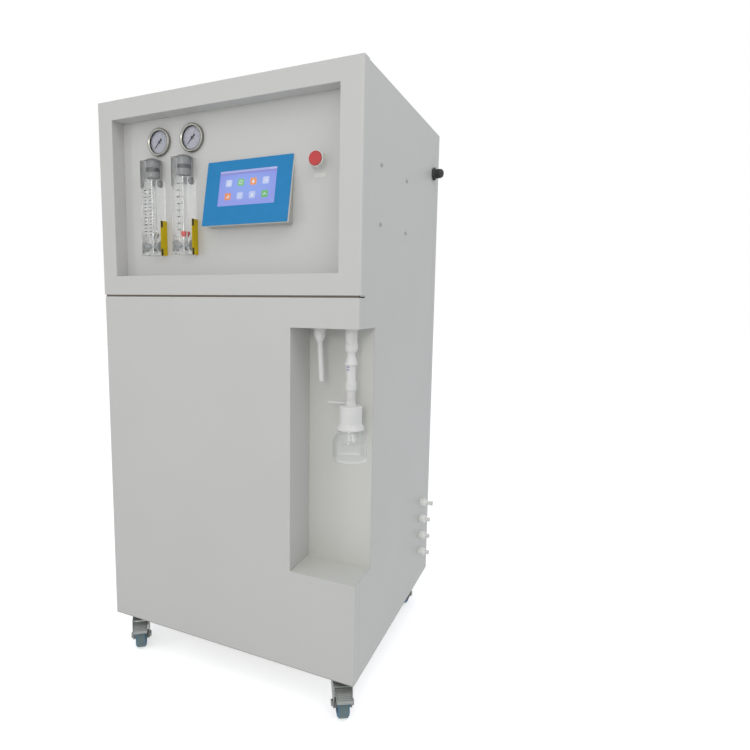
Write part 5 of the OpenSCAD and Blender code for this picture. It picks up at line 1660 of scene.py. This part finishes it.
EYE_FROM_CORNER = Vector((657.84, -951.3, 740.46))
LOOK = Vector((-0.4329, 0.8933, -0.1209))
ACROSS = Vector((0.8996, 0.4367, 0.0055))
SENSOR = 36.0
FOCAL_PIXELS = 571.8
FRAME_PIXELS = 750
CENTRE_PIXEL = (306.7, 367.0)
AMBIENT = (0.93, 0.96, 1.0)
AMBIENT_STRENGTH = 0.62
FLOOR_REACH = 14.0


def camera():
    """The photograph's view: its eye, its direction and its framing."""
    data = bpy.data.cameras.new("view")
    data.sensor_width = SENSOR
    data.lens = SENSOR * FOCAL_PIXELS / FRAME_PIXELS
    data.shift_x = 0.5 - CENTRE_PIXEL[0] / FRAME_PIXELS
    data.shift_y = CENTRE_PIXEL[1] / FRAME_PIXELS - 0.5
    data.clip_start = 0.01
    holder = bpy.data.objects.new("view", data)
    bpy.context.scene.collection.objects.link(holder)
    look = LOOK.normalized()
    across = (ACROSS - look * ACROSS.dot(look)).normalized()
    corner = Vector((middle("back_cover").x, box_mm("lower_front_panel")[0].y, box_mm("base_pan")[0].z))
    eye = (corner + EYE_FROM_CORNER) * MM
    holder.matrix_world = place(eye, across, across.cross(look), -look)
    bpy.context.scene.camera = holder


def seen_directly(graph):
    """One where a ray comes from the camera, a reflection or through a clear piece."""
    seen, shiny, through = (graph.add("ShaderNodeLightPath", output=f"Is {kind} Ray")
                            for kind in ("Camera", "Glossy", "Transmission"))
    return seen.math("MAXIMUM", seen.math("MAXIMUM", seen, shiny), through)


def world():
    """An even sky for the light, and plain white where it is looked at."""
    sky = bpy.data.worlds.new("studio")
    sky.use_nodes = True
    bpy.context.scene.world = sky
    graph = Graph(sky.node_tree)
    background = sky.node_tree.nodes["Background"]
    colour = graph.blend(seen_directly(graph), shade(AMBIENT, AMBIENT_STRENGTH), (1, 1, 1, 1))
    graph.feed(background.inputs["Color"], colour)


def floor():
    """A pale floor that keeps the shadow and runs out into white."""
    data = bpy.data.meshes.new("floor")
    corners = [(x * FLOOR_REACH, y * FLOOR_REACH, 0) for x, y in ((-1, -1), (1, -1), (1, 1), (-1, 1))]
    data.from_pydata(corners, [], [(0, 1, 2, 3)])
    ground = Finish("floor_white", Roughness=0.9, Specular_IOR_Level=0.0, Emission_Strength=1.0)
    speck = ground.noise(120, 2)
    ground.set("Base Color", ground.blend(speck, (0.86, 0.86, 0.86, 1), (0.9, 0.9, 0.9, 1)))
    ground.set("Emission Color", ground.blend(seen_directly(ground), (0, 0, 0, 1), (0.55, 0.55, 0.55, 1)))
    data.materials.append(ground.material)
    holder = bpy.data.objects.new("floor", data)
    bpy.context.scene.collection.objects.link(holder)


def lamp(name, position, target, size, power, colour):
    """A soft lamp of a width and a height."""
    data = bpy.data.lights.new(name, "AREA")
    data.shape = "RECTANGLE"
    data.size, data.size_y = size
    data.energy = power
    data.color = colour
    holder = bpy.data.objects.new(name, data)
    bpy.context.scene.collection.objects.link(holder)
    way = (Vector(target) - Vector(position)).to_track_quat("-Z", "Y")
    holder.matrix_world = Matrix.Translation(position) @ way.to_matrix().to_4x4()


def studio():
    """World, floor and lamps."""
    world()
    floor()
    lamp("key", (0.65, -2.7, 1.4), (0, 0, 0.85), (0.5, 0.5), 10, (1.0, 0.98, 0.95))
    lamp("overhead", (0.2, -2.6, 2.9), (0, 0, 0.6), (2.2, 2.2), 12.6, (1.0, 0.985, 0.96))
    lamp("fill", (1.3, -0.9, 2.1), (0.3, -0.2, 1.1), (0.8, 0.8), 5.2, (0.98, 0.99, 1.0))
    lamp("window", (2.4, 1.8, 1.7), (0.3, 0.2, 1.0), (1.2, 1.2), 2.2, (0.5, 0.8, 1.0))
    lamp("strip", (-1.3, -1.9, 1.2), (0.1, 0, 0.8), (0.4, 1.4), 3.2, (1.0, 1.0, 1.0))
    bpy.context.scene.view_settings.view_transform = "Standard"


# The whole object

cabinet_sheets()
seam_lap()
panel_screws()
gauges()
flow_meters()
touch_display()
push_button()
cable_gland()
water_ports()
dispensing_niche()
casters()
finish_nodes()
camera()
studio()
